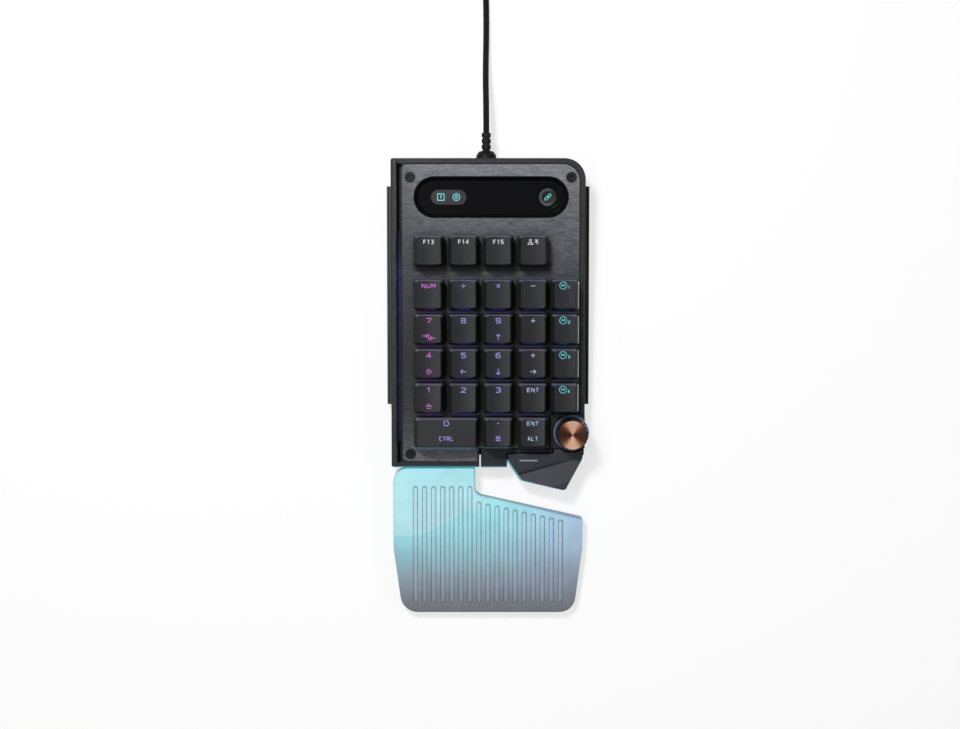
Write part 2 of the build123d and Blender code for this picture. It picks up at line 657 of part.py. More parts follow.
def in_knob_bay(shape):
    """What of a shape lies within the module's knob bay and the case's side."""
    return shape & block((KNOB_BAY_LEFT + MODULE_GAP, HALF_WIDTH), (KNOB_BAY_REAR - MODULE_GAP, -DEEP),
                         (-DEEP, DEEP))


def paddle_switch():
    """The small switch under the paddle, with a well for the plunger."""
    x, y = paddle_spot(PADDLE_SWITCH_SHARES)
    top = -BAY_DEPTH
    body = block(
        (x - PADDLE_SWITCH_LENGTH / 2, x + PADDLE_SWITCH_LENGTH / 2),
        (y - PADDLE_SWITCH_DEPTH / 2, y + PADDLE_SWITCH_DEPTH / 2),
        (top - PADDLE_SWITCH_HEIGHT, top))
    return body - disc(x, y, PLUNGER_RADIUS + CLEARANCE, top - PLUNGER_WELL, top + OVERRUN)


def top_plate():
    """The metal plate with switch openings, the tray's opening and screw seats."""
    plate = prism(plate_outline(0), -PLATE_THICKNESS, 0)
    plate = chamfer(plate.faces().sort_by(Axis.Z)[-1].outer_wire().edges(), PLATE_CHAMFER)
    cuts = [prism(Pos(x, y) * Rectangle(*SWITCH_HOLE), -OVERRUN, OVERRUN)
            for _, x, y, _, _ in key_places()]
    cuts.append(prism(Pos(TRAY_X, TRAY_Y) * stadium(TRAY_LENGTH, TRAY_DEPTH), -OVERRUN, OVERRUN))
    for x, y in PLATE_SCREWS:
        cuts.append(disc(x, y, SCREW_HEAD_RADIUS + SCREW_FIT, -SCREW_HEAD_HEIGHT, OVERRUN))
        cuts.append(disc(x, y, SCREW_SHANK_RADIUS + SCREW_FIT, -OVERRUN, OVERRUN))
    return plate - cuts


def module_room():
    """The room that the thumb module takes out of the case's upper half."""
    knob_bay = block((KNOB_BAY_LEFT, HALF_WIDTH + OVERRUN), (KNOB_BAY_REAR, -HALF_LENGTH - OVERRUN),
                     (-DEEP, DEEP))
    front = block((SEAM_X, HALF_WIDTH + OVERRUN), (MODULE_REAR, -HALF_LENGTH - OVERRUN), (-DEEP, DEEP))
    return knob_bay + front


def upper_case():
    """The bezel frame: plate ledge, left rim with its channel, open round the thumb module."""
    frame = prism(case_outline(0), -SPLIT_DEPTH, -BEZEL_DROP)
    frame = chamfer(frame.faces().sort_by(Axis.Z)[-1].outer_wire().edges(), BEZEL_CHAMFER)
    window = prism(plate_outline(-PLATE_LEDGE), -DEEP, DEEP)
    seat = prism(plate_outline(PLATE_GAP), -PLATE_THICKNESS, OVERRUN)
    channel_rear = PLATE_REAR + PLATE_GAP
    channel = block((PLATE_LEFT - CHANNEL_WIDTH, PLATE_LEFT),
                    (-channel_rear, channel_rear), (-CHANNEL_DEPTH, OVERRUN))
    trim_seat = block((PLATE_LEFT - CHANNEL_WIDTH - TRIM_WIDTH, PLATE_LEFT - CHANNEL_WIDTH),
                      (TRIM_END_INSET - HALF_LENGTH, HALF_LENGTH - TRIM_END_INSET),
                      (-TRIM_SEAT_DEPTH, OVERRUN))
    front_slot = front_light(PLATE_LEFT, SEAM_X - FRONT_LIGHT_END)
    return frame - [window, seat, channel, trim_seat, front_slot, module_room(), board_bridge(BOARD_CLEAR)]


def left_side_trim():
    """The rounded strip along the left rim."""
    right = PLATE_LEFT - CHANNEL_WIDTH
    strip = block((right - TRIM_WIDTH, right),
                  (TRIM_END_INSET - HALF_LENGTH, HALF_LENGTH - TRIM_END_INSET),
                  (-TRIM_SEAT_DEPTH, TRIM_PROUD))
    return fillet(strip.faces().sort_by(Axis.Z)[-1].edges(), TRIM_ROUND)


def left_light_bar():
    """The light guide on the floor of the left channel."""
    return block((PLATE_LEFT - CHANNEL_WIDTH + LIGHT_BAR_CLEAR, PLATE_LEFT - LIGHT_BAR_CLEAR),
                 (LIGHT_BAR_FRONT_INSET - HALF_LENGTH, HALF_LENGTH - LIGHT_BAR_REAR_INSET),
                 (-CHANNEL_DEPTH, LIGHT_BAR_THICKNESS - CHANNEL_DEPTH))


def front_light(left, right):
    """A light guide along the case's front edge, standing a little proud."""
    return block((left, right), (-HALF_LENGTH - FRONT_LIGHT_PROUD, FRONT_LIGHT_SEAT - HALF_LENGTH),
                 (-FRONT_LIGHT_DEPTH, FRONT_LIGHT_HEIGHT - FRONT_LIGHT_DEPTH))


def front_light_bars():
    """The front light guides, one in the case and one in the thumb module's panel."""
    return [front_light(PLATE_LEFT, SEAM_X - FRONT_LIGHT_END),
            front_light(PANEL_LEFT + FRONT_LIGHT_END, PANEL_LEFT + PANEL_WIDTH - FRONT_LIGHT_END)]


def rail_tongue(side):
    """The part of a rail that sits in the case wall."""
    wall = side * HALF_WIDTH
    middle = -RAIL_TOP_DEPTH - RAIL_HEIGHT / 2
    return block((wall, wall - side * RAIL_TONGUE),
                 (RAIL_Y - RAIL_LENGTH / 2, RAIL_Y + RAIL_LENGTH / 2),
                 (middle - RAIL_TONGUE_HEIGHT / 2, middle + RAIL_TONGUE_HEIGHT / 2))


def side_rail(side):
    """A stepped docking rail along one side of the case."""
    ridge = RAIL_INNER_RIDGE
    groove = ridge + RAIL_GROOVE
    low = -RAIL_TOP_DEPTH - RAIL_HEIGHT
    profile = (
        (0, low),
        (RAIL_PROUD - RAIL_STEP, low),
        (RAIL_PROUD, low + RAIL_STEP),
        (RAIL_PROUD, -RAIL_TOP_DEPTH - RAIL_STEP),
        (groove, -RAIL_TOP_DEPTH - RAIL_STEP),
        (groove, -RAIL_TOP_DEPTH - RAIL_STEP * 2),
        (ridge, -RAIL_TOP_DEPTH - RAIL_STEP * 2),
        (ridge, -RAIL_TOP_DEPTH),
        (0, -RAIL_TOP_DEPTH),
    )
    section = make_face(Polyline(*[(side * (HALF_WIDTH + x), z) for x, z in profile], close=True))
    bar = extrude(Plane.XZ * section, RAIL_LENGTH / 2, both=True)
    return Pos(0, RAIL_Y, 0) * bar + rail_tongue(side)


def display_tray():
    """The stadium tray in the rear of the plate, with sloping walls and openings in its floor."""
    at = Pos(TRAY_X, TRAY_Y)
    fit = TRAY_FIT * 2
    body = prism(stadium(TRAY_LENGTH - fit, TRAY_DEPTH - fit), TRAY_FLOOR_BOTTOM, 0)
    flange_top = -PLATE_THICKNESS
    flange = prism(stadium(TRAY_LENGTH + TRAY_FLANGE * 2, TRAY_DEPTH + TRAY_FLANGE * 2),
                   flange_top - TRAY_FLANGE_HEIGHT, flange_top)
    rim = Pos(0, 0, TRAY_FLOOR_TOP) * stadium(TRAY_LENGTH - TRAY_SLOPE * 2, TRAY_DEPTH - TRAY_SLOPE * 2)
    mouth_inset = fit + TRAY_FLOOR / 2
    mouth = stadium(TRAY_LENGTH - mouth_inset, TRAY_DEPTH - mouth_inset)
    tray = at * (body + flange - loft([rim, mouth], ruled=True))
    lens = Pos(LENS_X, TRAY_Y) * stadium(LENS_LENGTH + fit, LENS_DEPTH + fit)
    tray = tray - prism(lens, -DEEP, TRAY_FLOOR_TOP + OVERRUN)
    ring = BUTTON_RADIUS + BUTTON_RING
    dish = Pos(BUTTON_X, TRAY_Y, TRAY_FLOOR_TOP - BUTTON_RING_DEPTH / 2)
    dish = dish * Cone(ring - BUTTON_RING_DEPTH, ring, BUTTON_RING_DEPTH)
    return tray - dish - disc(BUTTON_X, TRAY_Y, BUTTON_RADIUS + CLEARANCE / 2, -DEEP, TRAY_FLOOR_TOP)


def indicator_lens():
    """The pill-shaped status lens, held by a flange under the tray floor."""
    at = Pos(LENS_X, TRAY_Y)
    pill = prism(stadium(LENS_LENGTH, LENS_DEPTH), TRAY_FLOOR_BOTTOM, TRAY_FLOOR_TOP + LENS_PROUD)
    wide = stadium(LENS_LENGTH + LENS_FLANGE * 2, LENS_DEPTH + LENS_FLANGE * 2)
    flange = prism(wide, TRAY_FLOOR_BOTTOM - LENS_FLANGE_HEIGHT, TRAY_FLOOR_BOTTOM)
    return at * (pill + flange)


def mode_button():
    """The round button, dished on top and kept in by a flange."""
    top = TRAY_FLOOR_TOP + BUTTON_PROUD
    flange_top = TRAY_FLOOR_BOTTOM - BUTTON_GAP
    body = disc(BUTTON_X, TRAY_Y, BUTTON_RADIUS, flange_top, top)
    flange = disc(BUTTON_X, TRAY_Y, BUTTON_RADIUS + BUTTON_FLANGE,
                  flange_top - BUTTON_FLANGE_HEIGHT, flange_top)
    hollow = Pos(BUTTON_X, TRAY_Y, top - BUTTON_DISH / 2) * Cone(0, BUTTON_RADIUS * BUTTON_DISH_SHARE, BUTTON_DISH)
    return body + flange - hollow


def board_bridge(grow):
    """The neck of the board that reaches into the knob bay, grown for the opening that it passes."""
    return block((KNOB_X - ENCODER_SIZE / 2 - grow, PLATE_RIGHT - PLATE_LEDGE - BOARD_CLEAR + grow),
                 (KNOB_Y, KNOB_BAY_REAR + PLATE_LEDGE + BOARD_CLEAR * 2),
                 (BOARD_BOTTOM - grow, BOARD_TOP + grow))


def circuit_board():
    """The board under the switches, holed for the plate posts, with the button's contact dome."""
    main = prism(plate_outline(-PLATE_LEDGE - BOARD_CLEAR), BOARD_BOTTOM, BOARD_TOP)
    arm = block((KNOB_BAY_LEFT + MODULE_WALL + BOARD_CLEAR * 2, HALF_WIDTH - MODULE_WALL - BOARD_CLEAR),
                (PADDLE_REAR + MODULE_WALL + BOARD_CLEAR * 2, KNOB_BAY_REAR - MODULE_GAP - BOARD_CLEAR),
                (BOARD_BOTTOM, BOARD_TOP))
    board = main + arm + board_bridge(0)
    for x, y in PLATE_SCREWS + MODULE_SCREWS:
        board = board - disc(x, y, SCREW_BOSS_RADIUS + BOARD_CLEAR, BOARD_BOTTOM, BOARD_TOP)
    dome = disc(BUTTON_X, TRAY_Y, DOME_RADIUS, BOARD_TOP, BOARD_TOP + DOME_HEIGHT)
    return board + dome


def encoder_body():
    """The rotary encoder's square body and threaded bushing."""
    body = block((KNOB_X - ENCODER_SIZE / 2, KNOB_X + ENCODER_SIZE / 2),
                 (KNOB_Y - ENCODER_SIZE / 2, KNOB_Y + ENCODER_SIZE / 2),
                 (BOARD_TOP, BOARD_TOP + ENCODER_HEIGHT))
    bushing_top = BOARD_TOP + ENCODER_HEIGHT + BUSHING_HEIGHT
    bushing = disc(KNOB_X, KNOB_Y, BUSHING_RADIUS, BOARD_TOP + ENCODER_HEIGHT, bushing_top)
    bore = disc(KNOB_X, KNOB_Y, SHAFT_RADIUS + SHAFT_FIT, BOARD_TOP + ENCODER_HEIGHT / 2, bushing_top + OVERRUN)
    return body + bushing - bore


def shaft_bar(fit, bottom, top):
    """A bar with one flat side, as the encoder's shaft and the knob's bore have it."""
    round_bar = disc(KNOB_X, KNOB_Y, SHAFT_RADIUS + fit, bottom, top)
    flat = block((KNOB_X + SHAFT_FLAT + fit, KNOB_X + SHAFT_RADIUS * 2),
                 (KNOB_Y - SHAFT_RADIUS * 2, KNOB_Y + SHAFT_RADIUS * 2),
                 (BOARD_TOP + ENCODER_HEIGHT + BUSHING_HEIGHT + CLEARANCE, top))
    return round_bar - flat


def encoder_shaft():
    """The turning shaft, flattened where the knob grips it."""
    bottom = BOARD_TOP + ENCODER_HEIGHT / 2 + CLEARANCE
    return shaft_bar(0, bottom, bottom + SHAFT_LENGTH)


def knob_body():
    """The fluted grip over a wider skirt, bored for the shaft and the bushing."""
    top = KNOB_BASE_LEVEL + KNOB_HEIGHT
    skirt_top = KNOB_BASE_LEVEL + KNOB_SKIRT_HEIGHT
    profile = make_face(Polyline(
        (0, KNOB_BASE_LEVEL),
        (KNOB_RADIUS, KNOB_BASE_LEVEL),
        (KNOB_RADIUS, skirt_top - KNOB_FLUTE),
        (KNOB_GRIP_RADIUS, skirt_top),
        (KNOB_TOP_RADIUS, top),
        (KNOB_CAP_RADIUS, top),
        (KNOB_CAP_RADIUS, top - KNOB_CAP_THICKNESS),
        (0, top - KNOB_CAP_THICKNESS),
        close=True,
    ))
    body = Pos(KNOB_X, KNOB_Y) * revolve(Plane.XZ * profile, Axis.Z)
    lean = math.degrees(math.atan2(KNOB_GRIP_RADIUS - KNOB_TOP_RADIUS, top - skirt_top))
    flute = Pos(KNOB_GRIP_RADIUS, 0, skirt_top + KNOB_FLUTE) * Rot(0, -lean, 0)
    flute = flute * Pos(0, 0, KNOB_HEIGHT / 2) * Rot(0, 0, 45) * Box(KNOB_FLUTE * 2, KNOB_FLUTE * 2, KNOB_HEIGHT)
    step = 360 / KNOB_FLUTES
    flutes = [Pos(KNOB_X, KNOB_Y) * Rot(0, 0, step * turn) * flute for turn in range(KNOB_FLUTES)]
    bushing_top = BOARD_TOP + ENCODER_HEIGHT + BUSHING_HEIGHT + CLEARANCE
    well = disc(KNOB_X, KNOB_Y, BUSHING_RADIUS + CLEARANCE, -DEEP, bushing_top)
    shaft_top = BOARD_TOP + ENCODER_HEIGHT / 2 + CLEARANCE + SHAFT_LENGTH
    return body - flutes - well - shaft_bar(SHAFT_FIT, KNOB_BASE_LEVEL - OVERRUN, shaft_top + CLEARANCE)


def knob_cap():
    """The metal disc on the knob, dished to a shallow cone."""
    seat = KNOB_BASE_LEVEL + KNOB_HEIGHT - KNOB_CAP_THICKNESS
    radius = KNOB_CAP_RADIUS - SHAFT_FIT
    profile = make_face(Polyline(
        (0, seat),
        (radius, seat),
        (radius, seat + KNOB_CAP_THICKNESS + KNOB_CAP_DISH),
        (0, seat + KNOB_CAP_THICKNESS),
        close=True,
    ))
    return Pos(KNOB_X, KNOB_Y) * revolve(Plane.XZ * profile, Axis.Z)


def knob_collar():
    """The ring on the module deck under the knob."""
    ring = disc(KNOB_X, KNOB_Y, COLLAR_RADIUS, 0, COLLAR_HEIGHT)
    ring = chamfer(ring.faces().sort_by(Axis.Z)[-1].edges(), COLLAR_HEIGHT / 2)
    ring = ring - disc(KNOB_X, KNOB_Y, BUSHING_RADIUS + SHAFT_FIT, -OVERRUN, OVERRUN)
    return in_knob_bay(ring)


def strain_relief():
    """The cable's domed grommet and ribbed sleeve, along +Y from the rear wall."""
    sleeve_end = RELIEF_DOME_LENGTH + RELIEF_LENGTH
    rib = RELIEF_LENGTH / RELIEF_RIB_COUNT
    points = [(0, -CASE_WALL), (RELIEF_SHANK_RADIUS, -CASE_WALL), (RELIEF_SHANK_RADIUS, 0),
              (RELIEF_DOME_RADIUS, 0)]
    for step in range(1, RELIEF_DOME_STEPS + 1):
        angle = math.pi / 2 * step / RELIEF_DOME_STEPS
        reach = RELIEF_DOME_RADIUS - RELIEF_RADIUS
        points.append((RELIEF_RADIUS + reach * math.cos(angle), RELIEF_DOME_LENGTH * math.sin(angle)))
    for turn in range(RELIEF_RIB_COUNT):
        start = RELIEF_DOME_LENGTH + turn * rib
        points += [(RELIEF_NECK_RADIUS, start), (RELIEF_NECK_RADIUS, start + RELIEF_NECK_LENGTH),
                   (RELIEF_RADIUS, start + RELIEF_NECK_LENGTH), (RELIEF_RADIUS, start + rib)]
    points.append((0, sleeve_end))
    section = make_face(Polyline(*points, close=True))
    turned = revolve(section, Axis.Y)
    return Pos(CABLE_OFFSET, HALF_LENGTH, -CABLE_LEVEL) * turned


def bottom_case():
    """The wedge-shaped tray that stands on the desk, with posts for the plate and the board."""
    body = prism(case_outline(0), -DEEP, -SPLIT_DEPTH)
    notch = block((SEAM_X, HALF_WIDTH + OVERRUN), (OPEN_SLIT_REAR, -HALF_LENGTH - OVERRUN), (-DEEP, OVERRUN))
    body = body - notch
    inside = prism(case_outline(CASE_WALL), -DEEP, -SPLIT_DEPTH + OVERRUN)
    inner_notch = block((SEAM_X - CASE_WALL, HALF_WIDTH), (OPEN_SLIT_REAR + CASE_WALL, -HALF_LENGTH),
                        (-DEEP, OVERRUN))
    inside = inside - inner_notch
    posts = [disc(x, y, SCREW_BOSS_RADIUS, -DEEP, -PLATE_THICKNESS) for x, y in PLATE_SCREWS]
    posts += [disc(x, y, MODULE_BOSS_RADIUS, -DEEP, -SPLIT_DEPTH) for x, y in MODULE_SCREWS]
    post_rows = ((ROW_Y[0] + ROW_Y[1]) / 2, (ROW_Y[2] + ROW_Y[3]) / 2, (ROW_Y[4] + ROW_Y[5]) / 2)
    post = prism(RegularPolygon(BOARD_POST_RADIUS, 6), -DEEP, BOARD_BOTTOM)
    posts += [Pos((COLUMN_X[column] + COLUMN_X[column + 1]) / 2, y) * post
              for column in (0, 2) for y in post_rows]
    holes = [disc(x, y, SCREW_SHANK_RADIUS + SCREW_FIT, -SCREW_HEAD_HEIGHT - SCREW_LENGTH - CLEARANCE, OVERRUN)
             for x, y in PLATE_SCREWS]
    cuts = [rail_tongue(-1), rail_tongue(1)]
    relief = Pos(CABLE_OFFSET, HALF_LENGTH, -CABLE_LEVEL) * Rot(90, 0, 0)
    cuts.append(relief * Cylinder(RELIEF_SHANK_RADIUS + RELIEF_SHANK_FIT, CASE_WALL * 4))
    floor = below(FOOT_STAND + CASE_FLOOR)
    shell = PLACE * body - (PLACE * inside - floor)
    for post in posts:
        shell = shell + (PLACE * post)
    shell = shell - [PLACE * cut for cut in holes + cuts]
    for x, y in MODULE_SCREWS:
        hole = disc(x, y, SCREW_SHANK_RADIUS + SCREW_FIT, -DEEP, OVERRUN)
        head = disc(x, y, SCREW_HEAD_RADIUS + SCREW_FIT, -DEEP, module_screw_seat(y))
        shell = shell - PLACE * hole - PLACE * head
    return shell - below(FOOT_STAND) - tongue(CLEARANCE)


def module_screw_seat(y):
    """How deep under the plate the module's screw heads sit, a little above the case's underside."""
    underside = (FOOT_STAND - PLATE_HEIGHT - y * math.sin(TILT)) / math.cos(TILT)
    return underside + SCREW_HEAD_HEIGHT + CASE_FLOOR / 2


def module_screws():
    """Screws that hold the thumb module from below."""
    screws = []
    for x, y in MODULE_SCREWS:
        seat = module_screw_seat(y)
        head = disc(x, y, SCREW_HEAD_RADIUS, seat - SCREW_HEAD_HEIGHT, seat)
        shank = disc(x, y, SCREW_SHANK_RADIUS, seat, -MODULE_DECK - CLEARANCE)
        screws.append(head + shank)
    return screws


def foot_spots():
    """Centres of the case's four feet on the desk."""
    x = HALF_WIDTH - FOOT_SIDE_INSET
    rear = CASE_CENTRE_Y + HALF_LENGTH - FOOT_END_INSET
    front = CASE_CENTRE_Y - HALF_LENGTH + FOOT_END_INSET
    return ((-x, rear), (x, rear), (-x, front), (x - FOOT_SIDE_INSET * 2, front + FOOT_END_INSET / 2))


def foot_pads():
    """The feet under the case, from the desk to its underside."""
    pad = Rectangle(FOOT_WIDTH, FOOT_DEPTH)
    return [prism(Pos(x, y) * pad, 0, FOOT_STAND) for x, y in foot_spots()]


def nose_foot():
    """The small foot under the thumb module."""
    x, y = paddle_spot(NOSE_FOOT_SHARES)
    spot = PLACE * Pos(x, y, -BAY_DEPTH)
    pad = Rectangle(NOSE_FOOT_WIDTH, NOSE_FOOT_DEPTH)
    return prism(Pos(spot.position.X, spot.position.Y) * pad, 0, FOOT_STAND)


def rest_points():
    """The wrist rest's corners on the plate plane, from shares of half its width and its length."""
    return [(x * REST_WIDTH / 2, REST_REAR - y * REST_LENGTH) for x, y in REST_OUTLINE_SHARES]


def rest_face(inset):
    """The wrist rest's outline, drawn in by a distance."""
    face = rounded_face(rest_points(), REST_CORNERS)
    if inset:
        face = offset(face, -inset, kind=Kind.INTERSECTION)
    return face


def rib_rear(x):
    """Where a rib at this place across the rest starts, behind the thumb notch or beside it."""
    _, leg, notch, end = rest_points()[:4]
    if x + RIB_WIDTH / 2 < leg[0]:
        return REST_REAR - RIB_REAR_INSET
    slope = (end[1] - notch[1]) / (end[0] - notch[0])
    return notch[1] + slope * (x - notch[0]) - RIB_NOTCH_INSET


def rest_side_slope(side):
    """The wedge cut away where the rest's top falls off to one side."""
    edge = REST_WIDTH / 2
    profile = make_face(Polyline(
        (side * (edge - REST_SIDE_SLOPE), REST_PROUD),
        (side * (edge + REST_SIDE_SLOPE), REST_PROUD - REST_SIDE_DROP * 2),
        (side * (edge + REST_SIDE_SLOPE), REST_PROUD),
        close=True,
    ))
    return extrude(Plane.XZ * profile, DEEP * 2, both=True)


def groove_face(x, rear, front):
    """A long groove from above, its ends drawn in at both corners."""
    half = RIB_WIDTH / 2
    inner = half * RIB_END_SHARE
    points = [(x + side * across, y + turn * (half - inner if across == half else 0))
              for y, turn, side, across in (
                  (rear, -1, -1, half), (rear, -1, -1, inner), (rear, -1, 1, inner), (rear, -1, 1, half),
                  (front, 1, 1, half), (front, 1, 1, inner), (front, 1, -1, inner), (front, 1, -1, half))]
    return make_face(Polyline(*points, close=True))


def wrist_rest():
    """The grooved rest: a wedge that carries the plate's slope on to the user's edge."""
    body = prism(rest_face(0), -DEEP, REST_PROUD)
    body = chamfer(body.faces().sort_by(Axis.Z)[-1].outer_wire().edges(), REST_EDGE)
    grooves = [rest_side_slope(-1), rest_side_slope(1)]
    for count in range(RIB_COUNT):
        x = -REST_WIDTH / 2 + RIB_SIDE_INSET + count * RIB_PITCH
        rear = rib_rear(x)
        front = REST_FRONT + RIB_FRONT_INSET
        grooves.append(prism(groove_face(x, rear, front), REST_PROUD - RIB_DEPTH, REST_PROUD + OVERRUN))
    body = body - grooves
    hollow = prism(rest_face(REST_WALL), -DEEP, REST_PROUD - REST_WALL)
    return PLACE * body - PLACE * hollow - below(FOOT_STAND + REST_BASE) - tongue(0)


def rest_base():
    """The flat base under the rest, with the tongue that plugs into the case."""
    plate = PLACE * prism(rest_face(REST_BASE_INSET), -DEEP, DEEP)
    reach = CASE_WIDTH + CASE_LENGTH
    plate = plate & block((-reach, reach), (-reach, reach), (FOOT_STAND, FOOT_STAND + REST_BASE))
    return plate + tongue(0)


def tongue(grow):
    """The tongue between the rest and the case front, grown for its socket."""
    left = -HALF_WIDTH + TONGUE_LEFT_INSET
    right = SEAM_X - TONGUE_SEAM_INSET
    front_edge = CASE_CENTRE_Y - HALF_LENGTH * math.cos(TILT)
    level = FOOT_STAND + CASE_FLOOR + CLEARANCE
    return block((left - grow, right + grow),
                 (front_edge + TONGUE_LENGTH + grow, front_edge - TONGUE_ROOT),
                 (level - grow, level + TONGUE_THICKNESS + grow))


def rest_feet():
    """Soft pads under the rest's base."""
    pad = Rectangle(REST_FOOT_WIDTH, REST_FOOT_DEPTH)
    pads = []
    for x, y in REST_FOOT_SHARES:
        spot = PLACE * Pos(x * REST_WIDTH / 2, REST_REAR - y * REST_LENGTH, 0)
        pads.append(prism(Pos(spot.position.X, spot.position.Y) * pad, 0, FOOT_STAND))
    return pads


def cable_route():
    """The free cable's points over the desk: out of the strain relief, down and on to the coil."""
    leave = PLACE * Pos(CABLE_OFFSET, HALF_LENGTH + RELIEF_DOME_LENGTH + RELIEF_LENGTH, -CABLE_LEVEL)
    onward = PLACE * Pos(CABLE_OFFSET, HALF_LENGTH + CABLE_STRAIGHT_REACH, -CABLE_LEVEL)
    x, y = COIL_CENTRE
    arrive = (x - COIL_OUTER_RADIUS, y - CABLE_DIAMETER, COIL_LEVEL)
    return [leave.position, onward.position] + [Vector(*point) for point in CABLE_POINTS] + [Vector(*arrive)]


def tangent_radii(points):
    """The radius that each inner point of a route takes, as large as its two runs allow."""
    radii = []
    for before, point, after in zip(points, points[1:], points[2:]):
        run = min((point - before).length, (after - point).length)
        turn = math.radians((point - before).get_angle(after - point))
        radii.append(RUN_SHARE * run / math.tan(turn / 2))
    return radii


def tube(path):
    """A cable's round tube along a path, with its volume compared with section times length."""
    section = Plane(origin=path @ 0, z_dir=path % 0) * RegularPolygon(CABLE_DIAMETER / 2, TUBE_SIDES)
    solid = sweep(section, path)
    share = solid.volume / (section.area * path.length)
    print("tube length", round(path.length, 1), "volume share", round(share, 3))
    return solid


def cable():
    """The free stretch between the strain relief and the coil."""
    points = cable_route()
    radii = tangent_radii(points)
    print("cable radii", [round(radius, 1) for radius in radii])
    return tube(FilletPolyline(*points, radius=radii))


def coil_place(turn):
    """A point of the coil's centre line after a number of turns, clockwise from its left side."""
    layer_turns = COIL_TURNS + COIL_CLIMB
    layer = min(int(turn / layer_turns), COIL_LAYERS - 1)
    within = turn - layer * layer_turns
    drawn = min(within, COIL_TURNS) * COIL_PITCH
    radius = COIL_OUTER_RADIUS - drawn
    if layer % 2:
        radius = COIL_OUTER_RADIUS - COIL_TURNS * COIL_PITCH + drawn
    climb = max(within - COIL_TURNS, 0) / COIL_CLIMB
    level = COIL_LEVEL + COIL_PITCH * layer
    if turn > COIL_WOUND:
        tail = turn - COIL_WOUND
        radius = COIL_OUTER_RADIUS + COIL_PITCH * min(tail / TAIL_WIDENING, 1)
        fall = max(tail - TAIL_WIDENING, 0) / TAIL_FALL
        radius = radius + TAIL_SPREAD * ease(fall)
        level = level - (level - PLUG_LEVEL) * ease(fall)
    else:
        level = level + COIL_PITCH * ease(climb)
    angle = math.pi - 2 * math.pi * turn
    x, y = COIL_CENTRE
    return Vector(x + radius * math.cos(angle), y + radius * math.sin(angle), level)


def ease(share):
    """A rise from nought to one that starts and ends level."""
    return (1 - math.cos(math.pi * share)) / 2


def coil_heading(turn):
    """The direction of the coil's centre line at a turn."""
    step = COIL_STEP / COIL_TURN_FINENESS
    return (coil_place(turn + step) - coil_place(turn - step)).normalized()


def biarc(start, start_heading, end, end_heading):
    """Two arcs that join two points and keep both headings."""
    chord = end - start
    headings = start_heading + end_heading
    spread = 2 * (1 - start_heading.dot(end_heading))
    along = chord.dot(headings)
    reach = (math.sqrt(along ** 2 + spread * chord.dot(chord)) - along) / spread
    first = start + start_heading * reach
    last = end - end_heading * reach
    middle = (first + last) / 2
    return [Edge.make_tangent_arc(start, start_heading, middle),
            Edge.make_tangent_arc(middle, (last - first).normalized(), end)]


def coil_path():
    """The coil's centre line: a straight lead-in, biarcs of a quarter turn and a straight end."""
    turns = COIL_WOUND + TAIL_WIDENING + TAIL_FALL
    count = round(turns / COIL_STEP)
    stations = [turns * number / count for number in range(count + 1)]
    places = [coil_place(turn) for turn in stations]
    headings = [coil_heading(turn) for turn in stations]
    headings[0] = Vector(0, 1, 0)
    headings[-1] = Vector(0, -1, 0)
    lead_in = places[0] - headings[0] * CABLE_DIAMETER
    lead_out = places[-1] + headings[-1] * CABLE_DIAMETER
    edges = [Edge.make_line(lead_in, places[0])]
    for number in range(count):
        edges += biarc(places[number], headings[number], places[number + 1], headings[number + 1])
    edges.append(Edge.make_line(places[-1], lead_out))
    return Wire(edges)


def coil_gap(path):
    """The least space between the coil's turns, measured on points along its centre line."""
    count = round(path.length / GAP_STEP)
    points = [path @ (number / count) for number in range(count + 1)]
    apart = round(math.pi * COIL_OUTER_RADIUS / GAP_STEP / 2)
    least = min((a - b).length for number, a in enumerate(points) for b in points[number + apart:])
    return least - CABLE_DIAMETER


def cable_coil():
    """The put-away length, wound in four layers, with its tail down to the plug."""
    path = coil_path()
    print("coil least gap", round(coil_gap(path), 2))
    return tube(path)


def cable_tie():
    """The strap round all the coil's turns at one side."""
    low = COIL_LEVEL - CABLE_DIAMETER / 2 - TIE_GAP
    high = COIL_LEVEL + COIL_PITCH * (COIL_LAYERS - 1) + CABLE_DIAMETER / 2 + TIE_GAP
    inner = COIL_OUTER_RADIUS - COIL_TURNS * COIL_PITCH - CABLE_DIAMETER / 2
    near = math.sqrt(inner ** 2 - TIE_WIDTH ** 2 / 4) - TIE_GAP
    far = COIL_OUTER_RADIUS + CABLE_DIAMETER / 2 + TIE_GAP
    strap = block((near - TIE_THICKNESS, far + TIE_THICKNESS), (-TIE_WIDTH / 2, TIE_WIDTH / 2),
                  (low - TIE_THICKNESS, high + TIE_THICKNESS))
    strap = fillet(strap.edges().filter_by(Axis.Y), TIE_ROUND)
    strap = strap - block((near, far), (-TIE_WIDTH, TIE_WIDTH), (low, high))
    return Pos(*COIL_CENTRE) * Rot(0, 0, TIE_ANGLE) * strap


def plug_start():
    """Where the coil's tail meets the plug."""
    x, y = COIL_CENTRE
    return Pos(x + COIL_OUTER_RADIUS + COIL_PITCH + TAIL_SPREAD, y - CABLE_DIAMETER, PLUG_LEVEL)


def usb_overmould():
    """The plug's grip and its neck round the cable, along -Y."""
    grip_end = -PLUG_NECK_LENGTH - PLUG_LENGTH
    grip = block((-PLUG_WIDTH / 2, PLUG_WIDTH / 2), (-PLUG_NECK_LENGTH, grip_end),
                 (-PLUG_THICKNESS / 2, PLUG_THICKNESS / 2))
    grip = fillet(grip.edges().filter_by(Axis.Y), PLUG_ROUND)
    neck = Pos(0, -PLUG_NECK_LENGTH / 2) * Rot(90, 0, 0) * Cylinder(PLUG_NECK_RADIUS, PLUG_NECK_LENGTH)
    return plug_start() * (grip + neck)


